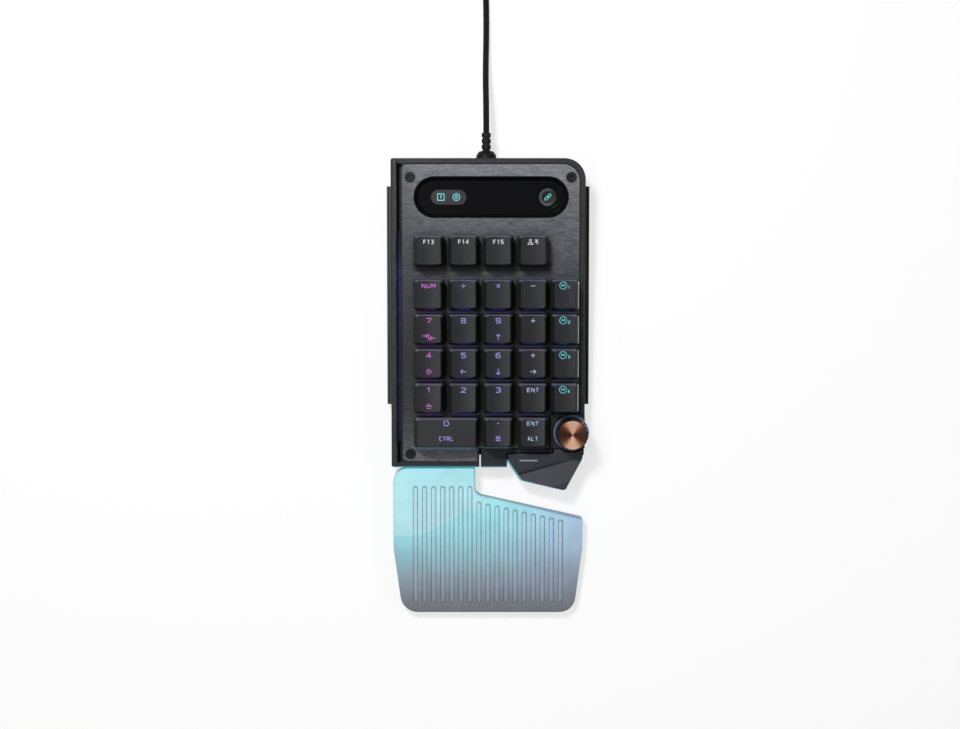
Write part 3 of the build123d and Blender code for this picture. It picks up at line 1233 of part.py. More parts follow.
def usb_shell():
    """The plug's metal shell with its contact tongue."""
    start = -PLUG_NECK_LENGTH - PLUG_LENGTH
    width = SHELL_WIDTH / 2
    height = SHELL_THICKNESS / 2
    shell = block((-width, width), (start, start - SHELL_LENGTH), (-height, height))
    hollow = block((SHELL_WALL - width, width - SHELL_WALL), (start - SHELL_WALL, start - SHELL_LENGTH * 2),
                   (SHELL_WALL - height, height - SHELL_WALL))
    inner = block((SHELL_WALL - width, width - SHELL_WALL), (start, start - SHELL_LENGTH + SHELL_WALL),
                  (SHELL_WALL - height, SHELL_WALL - height + SHELL_TONGUE))
    return plug_start() * (shell - hollow + inner)


def placed(shape):
    """A shape drawn on the plate plane, put where the tilted keypad has it."""
    return PLACE * shape


def save(name, shapes):
    """Write one node, of one solid or of a group."""
    if isinstance(shapes, list):
        shapes = Compound(children=shapes)
    export_step(shapes, f"parts/{name}.step")


os.makedirs("parts", exist_ok=True)

# Keys
cap_shapes = {}
for name, x, y, width, row in key_places():
    if (width, row) not in cap_shapes:
        cap_shapes[(width, row)] = keycap(width, ROW_TILTS[row])
    cap = Pos(x, y, KEY_BASE_LEVEL) * cap_shapes[(width, row)]
    save(f"key_{name}", [placed(cap), placed(Pos(x, y) * stem())])
save("switch_housings", [placed(Pos(x, y) * switch_housing()) for _, x, y, _, _ in key_places()])

# Case and plate
save("top_plate", placed(top_plate()))
save("upper_case", placed(upper_case()))
save("bottom_case", bottom_case())
save("left_side_trim", placed(left_side_trim()))
save("left_light_bar", placed(left_light_bar()))
save("front_light_bar", [placed(bar) for bar in front_light_bars()])
save("side_rails", [placed(side_rail(side)) for side in (-1, 1)])
save("plate_screws", [placed(Pos(x, y) * screw()) for x, y in PLATE_SCREWS])
save("module_screws", [placed(shape) for shape in module_screws()])
save("circuit_board", placed(circuit_board()))
save("case_feet", foot_pads() + [nose_foot()])

# Display
save("display_tray", placed(display_tray()))
save("indicator_lens", placed(indicator_lens()))
save("mode_button", placed(mode_button()))

# Thumb module and knob
save("thumb_module_shell", thumb_module_shell())
save("thumb_paddle", placed(thumb_paddle()))
save("paddle_light_rim", placed(paddle_light_rim()))
save("paddle_switch", placed(paddle_switch()))
save("encoder_housing", placed(encoder_body()))
save("encoder_shaft", placed(encoder_shaft()))
save("knob_body", placed(knob_body()))
save("knob_cap", placed(knob_cap()))
save("knob_collar", placed(knob_collar()))

# Wrist rest
save("wrist_rest", wrist_rest())
save("rest_base", rest_base())
save("rest_feet", rest_feet())

# Cable
save("strain_relief", placed(strain_relief()))
save("cable", cable())
save("cable_coil", cable_coil())
save("cable_tie", cable_tie())
save("usb_overmould", usb_overmould())
save("usb_shell", usb_shell())
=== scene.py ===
import math

import bmesh
import bpy
from mathutils import Matrix, Vector
from mathutils.bvhtree import BVHTree


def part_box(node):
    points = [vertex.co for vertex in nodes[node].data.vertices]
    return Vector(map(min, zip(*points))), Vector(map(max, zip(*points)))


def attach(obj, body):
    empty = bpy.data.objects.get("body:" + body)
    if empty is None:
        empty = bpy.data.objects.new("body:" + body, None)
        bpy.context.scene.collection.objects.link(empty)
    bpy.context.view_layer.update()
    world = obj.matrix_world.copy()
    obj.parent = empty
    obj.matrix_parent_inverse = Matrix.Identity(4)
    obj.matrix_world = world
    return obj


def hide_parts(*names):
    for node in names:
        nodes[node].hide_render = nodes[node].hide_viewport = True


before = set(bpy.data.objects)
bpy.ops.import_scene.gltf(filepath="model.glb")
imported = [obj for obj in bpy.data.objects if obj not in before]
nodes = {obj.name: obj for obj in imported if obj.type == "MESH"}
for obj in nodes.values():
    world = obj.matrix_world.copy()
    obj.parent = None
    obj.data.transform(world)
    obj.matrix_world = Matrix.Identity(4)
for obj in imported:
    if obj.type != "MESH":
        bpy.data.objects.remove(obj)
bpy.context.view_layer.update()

MM = 0.001

# The case's own axes: u to the right, v to the rear along its slope, w up from the plate's top
SLOPE = math.radians(4)
PLATE_CENTRE = Vector((0, 40.13, 19)) * MM
CASE_AXES = Matrix.Translation(PLATE_CENTRE) @ Matrix.Rotation(SLOPE, 4, "X")

# Camera straight over the keypad
CAMERA_PLACE = Vector((-4.5, 11.9, 900)) * MM
CAMERA_ANGLE = math.radians(33.7)
CAMERA_NEAR = 0.01

# Lamps: place, width and length in metres, and power in watts
LAMPS = {
    "lamp_key": ((-0.26, 0.48, 0.95), 0.17, 0.17, 8.0),
    "lamp_left": ((-0.38, 0.12, 1.0), 0.22, 0.9, 2.6),
    "lamp_right": ((0.8, 0.0, 0.7), 0.4, 0.4, 1.8),
    "lamp_front": ((-0.1, -0.8, 0.8), 0.5, 0.5, 0.6),
}
SKY_STRENGTH = 0.16

# Floor: half its side in metres, and the share of it that shows white whatever the shadow
FLOOR_REACH = 4.0
FLOOR_WHITE = 0.68

# Cord: its points over the desk, then the coil
CORD_DIAMETER = 3.4 * MM
CORD_ROUTE = (
    (-1.0, 141.39, 13.05),
    (-1.0, 153.76, 13.91),
    (-1.4, 176.0, 7.0),
    (-0.8, 203.0, 2.2),
    (-1.4, 232.0, 3.0),
    (-1.4, 260.6, 3.0),
)
COIL_CENTRE = (25.0, 264.0)
COIL_OUTER_RADIUS = 26.4
COIL_LEVEL = 3.0
COIL_LAYERS = 4
COIL_TURNS = 2.8125
COIL_CLIMB = 0.5
COIL_WOUND = COIL_LAYERS * (COIL_TURNS + COIL_CLIMB) - COIL_CLIMB
COIL_PITCH = 4.4
COIL_TURN_POINTS = 16
TAIL_WIDENING = 0.25
TAIL_FALL = 0.5
TAIL_SPREAD = 6.0
PLUG_LEVEL = 4.0
PLUG_JOIN = (61.8, 260.6, 4.0)
BRAID_TURN = math.radians(40)

# Patches, in mm: the places on X and then on Y where one starts, is full, is last full and ends
# The F row's painted shadow, the painted highlight by the macro keys, the painted glow before the 0 and
# decimal keys, and the floor's patch that keeps no shadow at the plug's tip
F_ROW_SHADOW = ((-43, -41, 34, 36), (62.6, 64.4, 68, 70))
MACRO_EDGE_HIGHLIGHT = ((49.6, 49.85, 50.35, 50.6), (-14.6, -13.6, 57.5, 58.5))
ZERO_KEY_GLOW = ((-41, -38, -10, -7), (-36.4, -34.8, -34.2, -33.2))
DECIMAL_KEY_GLOW = ((-3, 0, 11, 14), (-36.4, -34.8, -34.2, -33.2))
PLUG_TIP = ((42, 47, 75, 80), (206, 210, 221, 226))

# Axes of tones and lights: the two places that one runs between, in mm
PLATE_ACROSS = ("X", -50, 50)
PLATE_FORWARD = ("Y", 123, -43)
KEYS_ACROSS = ("X", -42, 50)
LEFT_LIGHT_RUN = ("Y", 100, -38)
FRONT_LIGHT_RUN = ("X", -50, 9)
RIM_LIGHT_RUN = ("X", 11, 44)
USB_SHELL_RUN = ("Y", 219, 240)

# Painted glow on the case's front edge: where its front starts, its right end, and its levels over the plate
CASE_FRONT = ("Y", -44.9, -45.1)
CASE_GLOW_END = ("X", 11, 10)
CASE_GLOW_LEVELS = (-1.6, -1.1)

# Wrist rest: height of its top over the plate, the axis of its fade of painted LED light and of the painted
# glow on its rear edge, the stretch of X that has grooves, and the two ends of its painted sheen's line
REST_TOP = 0.4
REST_FADE = ("Y", -46, -127)
REST_GLOW = ("Y", -47.4, -46.0)
REST_GROOVED = (-42.5, -42, 42, 42.5)
SHEEN_ENDS = ((-43.7, -84.2), (-2.8, -68.6))

# Shaded strip along the wrist rest's slanted rear edge: a turn from the side and a distance to the rear
NOTCH_TURN = math.radians(14.04)
NOTCH_LINE = -60.3

# Slanted crease of the thumb paddle, with painted shade along it, in the same way, and the bar printed on it,
# on the case's axes
CREASE_TURN = math.radians(-15.4)
CREASE_LINE = -52.6
PADDLE_BAR_PLACE = (22.5, -81.7, 4)
PADDLE_BAR_REACH = 5.0
PADDLE_BAR_WIDTH = 0.85

# Middle of the knob's skirt, on the case's axes, and the radii of its ring of painted glint: start, full,
# last full and end
KNOB_PLACE = (46.5, -66.3, 4.0)
KNOB_RING = (9.05, 9.2, 10.0, 10.3)

# Mode button: the radius over which its tone runs
BUTTON_RADIUS = 5.0

# Rows and columns of keys: the pitch, the first column's middle and a gap between rows
KEY_PITCH = 19.05
KEY_COLUMN = -32.6
KEY_GAP = 0.75

# Legends: places from a cap's rear edge, sizes of words and figures, and widths of strokes, in mm
CAP_REAR_SETBACK = 1.16
LEGEND_ROWS = (3.0, 11.9)
FRONT_LEGEND_ROWS = (2.4, 10.8)
FRONT_KEYS = ("0", "decimal", "enter_lower")
WORD_HEIGHT = 2.4
WORD_WIDTHS = {"F13": 5.8, "F14": 5.8, "F15": 5.8, "NUM": 7.5, "ENT": 6.6, "CTRL": 7.8, "ALT": 5.8}
FIGURE_HEIGHT = 3.0
FIGURE_WIDTH = 2.9
FIGURE_STROKE = 0.48
STROKE = 0.43
SIGN_STROKE = 0.38
FINE_STROKE = 0.36
LIST_STROKE = 0.55
LINK_STROKE = 0.34
DIVIDE_DOT = 0.5
DECIMAL_DOT = 0.7
LENS_STROKE = 0.4
LENS_FIGURE_OFFSET = 4.3
LETTER_GAP = 0.25
LEGEND_LIFT = 0.03 * MM
LEGEND_THICKNESS = 0.04 * MM
LEGEND_MERGE = 0.01 * MM

# Lit legends: display colour, and strength of the light
LEGEND_LIGHTS = {
    "white": ((188, 190, 194), 0.25),
    "pink": ((164, 86, 166), 0.35),
    "violet": ((128, 120, 190), 0.4),
    "blue": ((136, 152, 188), 0.4),
    "teal": ((86, 172, 176), 0.4),
    "cyan": ((96, 190, 190), 0.4),
    "grey": ((140, 142, 148), 0.05),
}

# Letters and figures as lines in a unit square; a line that ends where it starts is a loop
GLYPHS = {
    "0": (((0.25, 0), (0.75, 0), (1, 0.2), (1, 0.8), (0.75, 1), (0.25, 1), (0, 0.8), (0, 0.2), (0.25, 0)),),
    "1": (((0.2, 0.75), (0.55, 1), (0.55, 0)),),
    "2": (((0, 0.8), (0.2, 1), (0.8, 1), (1, 0.85), (1, 0.62), (0.8, 0.48), (0.15, 0.2), (0, 0), (1, 0)),),
    "3": (((0, 1), (0.8, 1), (1, 0.85), (1, 0.65), (0.8, 0.5), (0.35, 0.5)),
          ((0.8, 0.5), (1, 0.35), (1, 0.15), (0.8, 0), (0, 0))),
    "4": (((0.78, 0), (0.78, 1), (0, 0.3), (1, 0.3)),),
    "5": (((1, 1), (0.05, 1), (0.05, 0.55), (0.8, 0.55), (1, 0.4), (1, 0.15), (0.8, 0), (0, 0)),),
    "6": (((0.95, 1), (0.25, 1), (0, 0.8), (0, 0.2), (0.25, 0), (0.75, 0), (1, 0.17), (1, 0.4),
           (0.75, 0.57), (0, 0.57)),),
    "7": (((0, 1), (1, 1), (1, 0.85), (0.35, 0)),),
    "8": (((0.2, 0), (0.8, 0), (1, 0.15), (1, 0.38), (0.8, 0.53), (0.2, 0.53), (0, 0.38), (0, 0.15),
           (0.2, 0)),
          ((0.2, 0.53), (0.06, 0.66), (0.06, 0.87), (0.22, 1), (0.78, 1), (0.94, 0.87), (0.94, 0.66),
           (0.8, 0.53))),
    "9": (((0.05, 0), (0.75, 0), (1, 0.2), (1, 0.8), (0.75, 1), (0.25, 1), (0, 0.83), (0, 0.6),
           (0.25, 0.43), (1, 0.43)),),
    "A": (((0, 0), (0.45, 1), (0.55, 1), (1, 0)), ((0.2, 0.33), (0.8, 0.33))),
    "C": (((1, 1), (0.25, 1), (0, 0.8), (0, 0.2), (0.25, 0), (1, 0)),),
    "E": (((1, 0), (0, 0), (0, 1), (1, 1)), ((0, 0.5), (0.85, 0.5))),
    "F": (((0, 0), (0, 1), (1, 1)), ((0, 0.5), (0.85, 0.5))),
    "L": (((0, 1), (0, 0), (1, 0)),),
    "M": (((0, 0), (0, 1), (0.5, 0.4), (1, 1), (1, 0)),),
    "N": (((0, 0), (0, 1), (1, 0), (1, 1)),),
    "R": (((0, 0), (0, 1), (0.8, 1), (1, 0.85), (1, 0.6), (0.8, 0.45), (0, 0.45)), ((0.5, 0.45), (1, 0))),
    "T": (((0, 1), (1, 1)), ((0.5, 1), (0.5, 0))),
    "U": (((0, 1), (0, 0.2), (0.25, 0), (0.75, 0), (1, 0.2), (1, 1)),),
}

# Key LEDs: bars on the switches' rims, in mm, and their light
CAP_BASE_LEVEL = 5.0
LED_REACH = 7.15
LED_DEPTH = 0.6
LED_LEVEL = 1.15
LED_HEIGHT = 0.3
LED_SIDE_INSET = 5.0
LED_STRENGTH = 5.0


def spot(u, v, w):
    """A place given on the case's own axes, in millimetres."""
    return CASE_AXES @ (Vector((u, v, w)) * MM)


def middle_of(node):
    """The middle of a node's box, in metres."""
    low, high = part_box(node)
    return (low + high) / 2


def rgb(red, green, blue):
    """A display colour of 0 to 255 as the linear colour that a shader takes."""
    linear = []
    for value in (red / 255, green / 255, blue / 255):
        linear.append(value / 12.92 if value <= 0.04045 else ((value + 0.055) / 1.055) ** 2.4)
    return (*linear, 1.0)


def tones(*rows):
    """A colour ramp's stops, from rows of a place and a display colour."""
    return [(place, rgb(*colour)) for place, *colour in rows]


# Nodes of materials

def start_material(name, roughness, metallic=0.0, **sockets):
    """A new material with its shader's constant sockets set."""
    made = bpy.data.materials.new(name)
    made.use_nodes = True
    shader = made.node_tree.nodes["Principled BSDF"]
    shader.inputs["Roughness"].default_value = roughness
    shader.inputs["Metallic"].default_value = metallic
    for socket, value in sockets.items():
        shader.inputs[socket.replace("_", " ")].default_value = value
    return made, made.node_tree, shader


def feed(tree, shader, **sockets):
    """Links values to a shader's sockets."""
    for socket, value in sockets.items():
        tree.links.new(value, shader.inputs[socket.replace("_", " ")])


def add(tree, kind, inputs=(), **settings):
    """A node with its settings, and its inputs set or linked by name or number."""
    node = tree.nodes.new(kind)
    for key, value in settings.items():
        setattr(node, key, value)
    for key, value in dict(inputs).items():
        if isinstance(value, bpy.types.NodeSocket):
            tree.links.new(value, node.inputs[key])
        else:
            node.inputs[key].default_value = value
    return node


def step(tree, operation, first, second=0.0):
    """One step of arithmetic on values."""
    return add(tree, "ShaderNodeMath", {0: first, 1: second}, operation=operation).outputs["Value"]


def vector_step(tree, operation, first, second=(0, 0, 0)):
    """The outputs of one step of arithmetic on vectors."""
    return add(tree, "ShaderNodeVectorMath", {0: first, 1: second}, operation=operation).outputs


def both(tree, first, *others):
    """The product of factors."""
    for other in others:
        first = step(tree, "MULTIPLY", first, other)
    return first


def ranged(tree, value, low, high, first=0.0, last=1.0, easing="LINEAR"):
    """A value's way from one end to the other, as nought to one or as a given range."""
    inputs = {"Value": value, "From Min": low, "From Max": high, "To Min": first, "To Max": last}
    return add(tree, "ShaderNodeMapRange", inputs, interpolation_type=easing).outputs["Result"]


def spread(tree, factor, low, high):
    """A factor of 0.3 to 0.7 moved to a range, which is where noise mostly lies."""
    return ranged(tree, factor, 0.3, 0.7, low, high)


def ramp(tree, factor, stops, easing="LINEAR"):
    """A colour ramp over a factor, from (place, colour) stops."""
    node = add(tree, "ShaderNodeValToRGB", {"Fac": factor})
    node.color_ramp.interpolation = easing
    elements = node.color_ramp.elements
    while len(elements) < len(stops):
        elements.new(0.5)
    for element, (place, colour) in zip(elements, stops):
        element.position = place
        element.color = colour
    return node.outputs["Color"]


def greys(tree, factor, dark, light, low=0.3, high=0.7):
    """A factor as a grey between two display levels."""
    return ramp(tree, factor, tones((low, dark, dark, dark), (high, light, light, light)))


def mixed(tree, factor, first, second, blend="MIX"):
    """Two colours mixed by a factor."""
    node = add(tree, "ShaderNodeMix", {"Factor": factor}, data_type="RGBA", blend_type=blend)
    for socket, value in (("A", first), ("B", second)):
        target = next(s for s in node.inputs if s.name == socket and s.type == "RGBA")
        if isinstance(value, bpy.types.NodeSocket):
            tree.links.new(value, target)
        else:
            target.default_value = value
    return next(s for s in node.outputs if s.type == "RGBA")


def object_place(tree):
    """Object coordinates, in metres."""
    return add(tree, "ShaderNodeTexCoord").outputs["Object"]


def scaled_place(tree, scale=(1, 1, 1), turn=0.0):
    """Object coordinates turned about the vertical and stretched per axis."""
    inputs = {"Vector": object_place(tree), "Rotation": (0, 0, turn), "Scale": scale}
    return add(tree, "ShaderNodeMapping", inputs).outputs["Vector"]


def parts_of(tree, vector):
    """A vector's X, Y and Z."""
    return add(tree, "ShaderNodeSeparateXYZ", {"Vector": vector}).outputs


def noise(tree, place, scale, detail=3.0, roughness=0.55, distortion=0.0):
    """Fractal noise over a place."""
    inputs = {"Vector": place, "Scale": scale, "Detail": detail, "Roughness": roughness,
              "Distortion": distortion}
    return add(tree, "ShaderNodeTexNoise", inputs).outputs["Fac"]


def along(tree, axis, start, end):
    """Nought to one between two places of one axis, in millimetres."""
    return ranged(tree, parts_of(tree, object_place(tree))[axis], start * MM, end * MM)


def between(tree, axis, start, full, last, end):
    """One between the two middle places of an axis, nought beyond the outer two, in millimetres."""
    return both(tree, along(tree, axis, start, full), along(tree, axis, end, last))


def patch(tree, across, back):
    """One on an oblong patch, from its places on X and on Y, and nought off it."""
    return both(tree, between(tree, "X", *across), between(tree, "Y", *back))


def over_plate(tree, low, high):
    """Nought to one between two heights over the plate, in millimetres."""
    up = CASE_AXES.to_3x3().col[2]
    height = vector_step(tree, "DOT_PRODUCT", object_place(tree), up)["Value"]
    level = up.dot(PLATE_CENTRE)
    return ranged(tree, height, level + low * MM, level + high * MM)


def near_multiple(tree, axis, start, pitch, inner, outer):
    """One within an inner distance of a start and of every pitch from it, nought past an outer one.

    In millimetres along an axis, and the other way round where the outer distance is the smaller."""
    offset = step(tree, "SUBTRACT", parts_of(tree, object_place(tree))[axis], start * MM)
    off = step(tree, "PINGPONG", offset, pitch / 2 * MM)
    return ranged(tree, off, outer * MM, inner * MM)


def from_axis(tree, middle):
    """The distance from an upright line through a place, in metres."""
    shifted = vector_step(tree, "SUBTRACT", object_place(tree), middle)["Vector"]
    flat = vector_step(tree, "MULTIPLY", shifted, (1, 1, 0))["Vector"]
    return vector_step(tree, "LENGTH", flat)["Value"]


def bevelled(tree, radius, samples=6):
    """The surface's direction, with edges rounded by a radius in millimetres."""
    return add(tree, "ShaderNodeBevel", {"Radius": radius * MM}, samples=samples).outputs["Normal"]


def bump(tree, shader, height, depth, rounding=0.0):
    """Surface relief of a depth in millimetres, over edges rounded by a radius in millimetres."""
    inputs = {"Height": height, "Distance": depth * MM, "Strength": 1.0}
    if rounding:
        inputs["Normal"] = bevelled(tree, rounding)
    feed(tree, shader, Normal=add(tree, "ShaderNodeBump", inputs).outputs["Normal"])


# A mask along edges, used for wear and for painted highlights and painted shade on edges
def edge_wear_and_painted_light(tree, reach):
    """Nought on flats, rising along edges, by how far a rounded normal leaves the face's own."""
    flat = add(tree, "ShaderNodeNewGeometry").outputs["Normal"]
    dot = vector_step(tree, "DOT_PRODUCT", bevelled(tree, reach), flat)["Value"]
    return ranged(tree, dot, 1.0, 0.8, 0.0, 0.8)


def facing_up(tree, low, high):
    """Nought on walls, rising to one on faces that look up."""
    normal = add(tree, "ShaderNodeNewGeometry").outputs["Normal"]
    return ranged(tree, parts_of(tree, normal)["Z"], low, high)


def in_corners(tree, reach, low, high, most):
    """Nought in the open, rising to a share deep in gaps and corners."""
    sky = add(tree, "ShaderNodeAmbientOcclusion", {"Distance": reach * MM}, samples=8).outputs["AO"]
    return ranged(tree, sky, low, high, most, 0.0)


# Materials

def moulded(name, dark, light, roughness, grain=0.35, depth=0.02, worn_and_highlit=None, rounding=0.25, uneven=0.06,
            corners=0.0, **sockets):
    """Moulded plastic or rubber.

    It has a spark-eroded grain, an uneven tone and gloss, edges lighter from wear and a painted highlight,
    and painted shade in corners."""
    made, tree, shader = start_material(name, roughness, **sockets)
    place = object_place(tree)
    colour = ramp(tree, noise(tree, place, 45, detail=5), ((0.3, dark), (0.7, light)))
    # Edges lighter: partly wear, partly a painted highlight
    if worn_and_highlit:
        colour = mixed(tree, edge_wear_and_painted_light(tree, rounding * 1.6), colour, worn_and_highlit)
    # Painted shade in gaps and corners
    if corners:
        colour = mixed(tree, in_corners(tree, corners, 0.3, 0.9, 0.95), colour, rgb(5, 5, 6))
    gloss = spread(tree, noise(tree, place, 260), roughness - uneven, roughness + uneven)
    feed(tree, shader, Base_Color=colour, Roughness=gloss)
    bump(tree, shader, noise(tree, place, 1 / (grain * MM), detail=2), depth, rounding=rounding)
    return made


def brushed(name, stops, axis, roughness, metallic, depth=0.012, shade=None):
    """Brushed metal: short fine scratches from side to side, and a tone that changes along an axis."""
    made, tree, shader = start_material(name, roughness, metallic)
    fine = scaled_place(tree, (280, 1500, 280))
    streaks = noise(tree, fine, 1.0, detail=4, roughness=0.7, distortion=0.4)
    broad = noise(tree, scaled_place(tree, (90, 640, 90)), 1.0, detail=3, distortion=0.3)
    colour = ramp(tree, along(tree, *axis), stops)
    for grain, share in ((streaks, 40 * depth), (broad, 20 * depth)):
        colour = mixed(tree, share, colour, greys(tree, grain, 66, 250), "OVERLAY")
    if shade:
        colour = shade(tree, shader, colour)
    gloss = spread(tree, streaks, roughness - 8 * depth, roughness + 10 * depth)
    feed(tree, shader, Base_Color=colour, Roughness=gloss)
    bump(tree, shader, streaks, depth, rounding=0.2)
    return made


def plate_shade(tree, shader, colour):
    """The plate's painted shades and lights.

    It is darker on the left, with painted shade between the keys and a painted shadow before the F row.
    Painted light glows between the rows of keys, before the 0 and decimal keys, and as a highlight on the
    strip by the macro keys."""
    shares = ((0.04, 0.56), (0.11, 0.7), (0.23, 0.79), (0.5, 0.85), (0.9, 1.0))
    dimming = [(place, (share, share, share, 1.0)) for place, share in shares]
    colour = mixed(tree, 1.0, colour, ramp(tree, along(tree, *PLATE_ACROSS), dimming), "MULTIPLY")
    # Painted shade between the keys
    colour = mixed(tree, in_corners(tree, 6.5, 0.42, 1.0, 0.95), colour, rgb(8, 9, 11))
    # Painted shadow before the F row
    colour = mixed(tree, both(tree, patch(tree, *F_ROW_SHADOW), 0.92), colour, rgb(4, 5, 6))
    gap = spot(0, KEY_GAP, 0).y / MM
    pitch = KEY_PITCH * math.cos(SLOPE)
    in_rows = near_multiple(tree, "Y", gap, pitch, inner=2.4, outer=1.6)
    # Painted highlight on the plate's strip by the macro keys
    beside = both(tree, patch(tree, *MACRO_EDGE_HIGHLIGHT), in_rows)
    # Painted glow before the 0 and decimal keys
    glow = step(tree, "ADD", patch(tree, *ZERO_KEY_GLOW), patch(tree, *DECIMAL_KEY_GLOW))
    # Painted LED light between the rows of keys
    lines = both(tree, near_multiple(tree, "Y", gap, pitch, inner=0.15, outer=0.5),
                 near_multiple(tree, "X", KEY_COLUMN, KEY_PITCH, inner=6.0, outer=8.0),
                 along(tree, "Y", 64, 62), along(tree, "X", -41.5, -40.5))
    tint = ramp(tree, along(tree, *KEYS_ACROSS), tones(
        (0.0, 50, 38, 66), (0.35, 46, 44, 74), (1.0, 38, 48, 66)))
    spill = mixed(tree, lines, rgb(0, 0, 0), tint)
    spill = mixed(tree, beside, spill, rgb(118, 121, 127))
    feed(tree, shader, Emission_Color=mixed(tree, glow, spill, rgb(44, 74, 82)))
    shader.inputs["Emission Strength"].default_value = 1.0
    return mixed(tree, beside, colour, rgb(176, 180, 188))


def lit_guide(name, axis, stops, strength, tint, **sockets):
    """A frosted light guide, lit from inside, whose colour runs along its length."""
    made, tree, shader = start_material(name, 0.35, Emission_Strength=strength, **sockets)
    place = object_place(tree)
    uneven = greys(tree, noise(tree, place, 140), 150, 255, 0.2, 0.8)
    glow = mixed(tree, 1.0, ramp(tree, along(tree, *axis), stops, "EASE"), uneven, "MULTIPLY")
    milky = tuple(min(value * 1.5, 1.0) for value in tint)
    tone = ramp(tree, noise(tree, place, 500), ((0.3, tint), (0.7, milky)))
    feed(tree, shader, Base_Color=tone, Emission_Color=glow)
    bump(tree, shader, noise(tree, place, 2500), 0.01)
    return made


def legend_finish(name, colour, strength):
    """A light-through legend: the cap's translucent inner plastic, a little uneven over its light."""
    made, tree, shader = start_material(name, 0.5, Emission_Strength=strength)
    place = object_place(tree)
    dim = tuple(value * 0.7 for value in colour[:3]) + (1.0,)
    tone = ramp(tree, noise(tree, place, 700), ((0.25, dim), (0.6, colour)))
    feed(tree, shader, Base_Color=tone, Emission_Color=tone)
    bump(tree, shader, noise(tree, place, 4000), 0.005)
    return made


def keycap_finish():
    """Charcoal caps of fine grain: painted shade on the skirts and on the matt sides, painted highlights
    along the edges and a painted violet LED glow on the rear edges.
    """
    made, tree, shader = start_material("keycap_charcoal", 0.36, Specular_IOR_Level=0.42)
    place = object_place(tree)
    colour = ramp(tree, noise(tree, place, 60, detail=5), tones((0.3, 21, 22, 27), (0.7, 27, 28, 34)))
    colour = mixed(tree, along(tree, "Y", 10, 80), colour, rgb(33, 34, 41))
    # Painted shade: walls darker than the tops
    colour = mixed(tree, facing_up(tree, 0.75, 0.96), rgb(7, 8, 11), colour)
    # Painted highlight along the edges
    colour = mixed(tree, edge_wear_and_painted_light(tree, 0.45), colour, rgb(56, 58, 64))
    lean = parts_of(tree, bevelled(tree, 1.3, samples=8))
    # Painted shade on the side walls, which are also matt
    sides = step(tree, "ADD", ranged(tree, lean["X"], -0.08, -0.3), ranged(tree, lean["X"], 0.25, 0.5))
    colour = mixed(tree, sides, colour, rgb(9, 10, 13))
    # Painted violet LED glow on the rear edges
    rear = both(tree, ranged(tree, lean["Y"], 0.15, 0.45), over_plate(tree, 6.3, 9.2))
    colour = mixed(tree, rear, colour, rgb(96, 94, 114))
    gloss = spread(tree, noise(tree, place, 300), 0.39, 0.46)
    matt = step(tree, "MAXIMUM", gloss, both(tree, sides, 0.85))
    feed(tree, shader, Base_Color=colour, Roughness=matt)
    bump(tree, shader, noise(tree, place, 3600, detail=2), 0.015, rounding=0.4)
    return made


def led_finish():
    """Milky LED bars whose colour runs across the keys."""
    made, tree, shader = start_material("led_violet", 0.4, Emission_Strength=LED_STRENGTH)
    place = object_place(tree)
    light = ramp(tree, along(tree, *KEYS_ACROSS), tones(
        (0.0, 196, 70, 214), (0.35, 120, 84, 240), (0.75, 90, 110, 250), (1.0, 50, 150, 210)))
    glow = mixed(tree, 1.0, light, greys(tree, noise(tree, place, 260), 140, 255), "MULTIPLY")
    tone = ramp(tree, noise(tree, place, 900), tones((0.3, 150, 150, 156), (0.7, 190, 190, 196)))
    feed(tree, shader, Base_Color=tone, Emission_Color=glow)
    bump(tree, shader, noise(tree, place, 2200), 0.01)
    return made


def wrist_rest_finish():
    """Soft-touch coat of the wrist rest, with a painted glow from the light bar on its rear edge."""
    made, tree, shader = start_material("wrist_rest_fade", 0.46, Specular_IOR_Level=0.35, Coat_Weight=0.05,
                                        Coat_Roughness=0.4, Emission_Strength=1.0)
    place = object_place(tree)
    # Painted glow of the light bar on the rear edge
    glow = mixed(tree, along(tree, *REST_GLOW), rgb(0, 0, 0), rgb(64, 132, 142))
    gloss = spread(tree, noise(tree, place, 300), 0.43, 0.5)
    coat = rest_edges(tree, rest_fade(tree, place))
    feed(tree, shader, Base_Color=coat, Emission_Color=glow, Roughness=gloss)
    bump(tree, shader, noise(tree, place, 3000, detail=2), 0.012, rounding=0.3)
    return made


def rest_fade(tree, place):
    """Painted LED light on the grey coat: cyan at the keypad, fading to the coat's own grey at the front and
    to lilac on the right.

    A painted paler sheen lies over its rear left part, and the grooves have lilac floors."""
    left = ramp(tree, along(tree, *REST_FADE), tones(
        (0.0, 136, 238, 244), (0.1, 150, 238, 245), (0.22, 166, 238, 245), (0.37, 160, 230, 238),
        (0.5, 153, 215, 225), (0.63, 146, 192, 203), (0.76, 140, 163, 175), (0.89, 124, 132, 143),
        (1.0, 112, 116, 122)))
    right = ramp(tree, along(tree, *REST_FADE), tones(
        (0.0, 170, 220, 238), (0.4, 177, 206, 231), (0.55, 168, 192, 218), (0.72, 150, 164, 184),
        (0.89, 128, 134, 146), (1.0, 113, 117, 123)))
    fade = mixed(tree, along(tree, "X", 0, 50), left, right)
    # Painted sheen over the rear left part
    fade = mixed(tree, sheen(tree), fade, rgb(200, 232, 240))
    deep = over_plate(tree, REST_TOP - 0.3, REST_TOP - 0.6)
    floors = both(tree, deep, between(tree, "X", *REST_GROOVED), 0.17)
    fade = mixed(tree, floors, fade, rgb(214, 206, 228))
    return mixed(tree, 1.0, fade, greys(tree, noise(tree, place, 70, detail=5), 240, 255), "MULTIPLY")


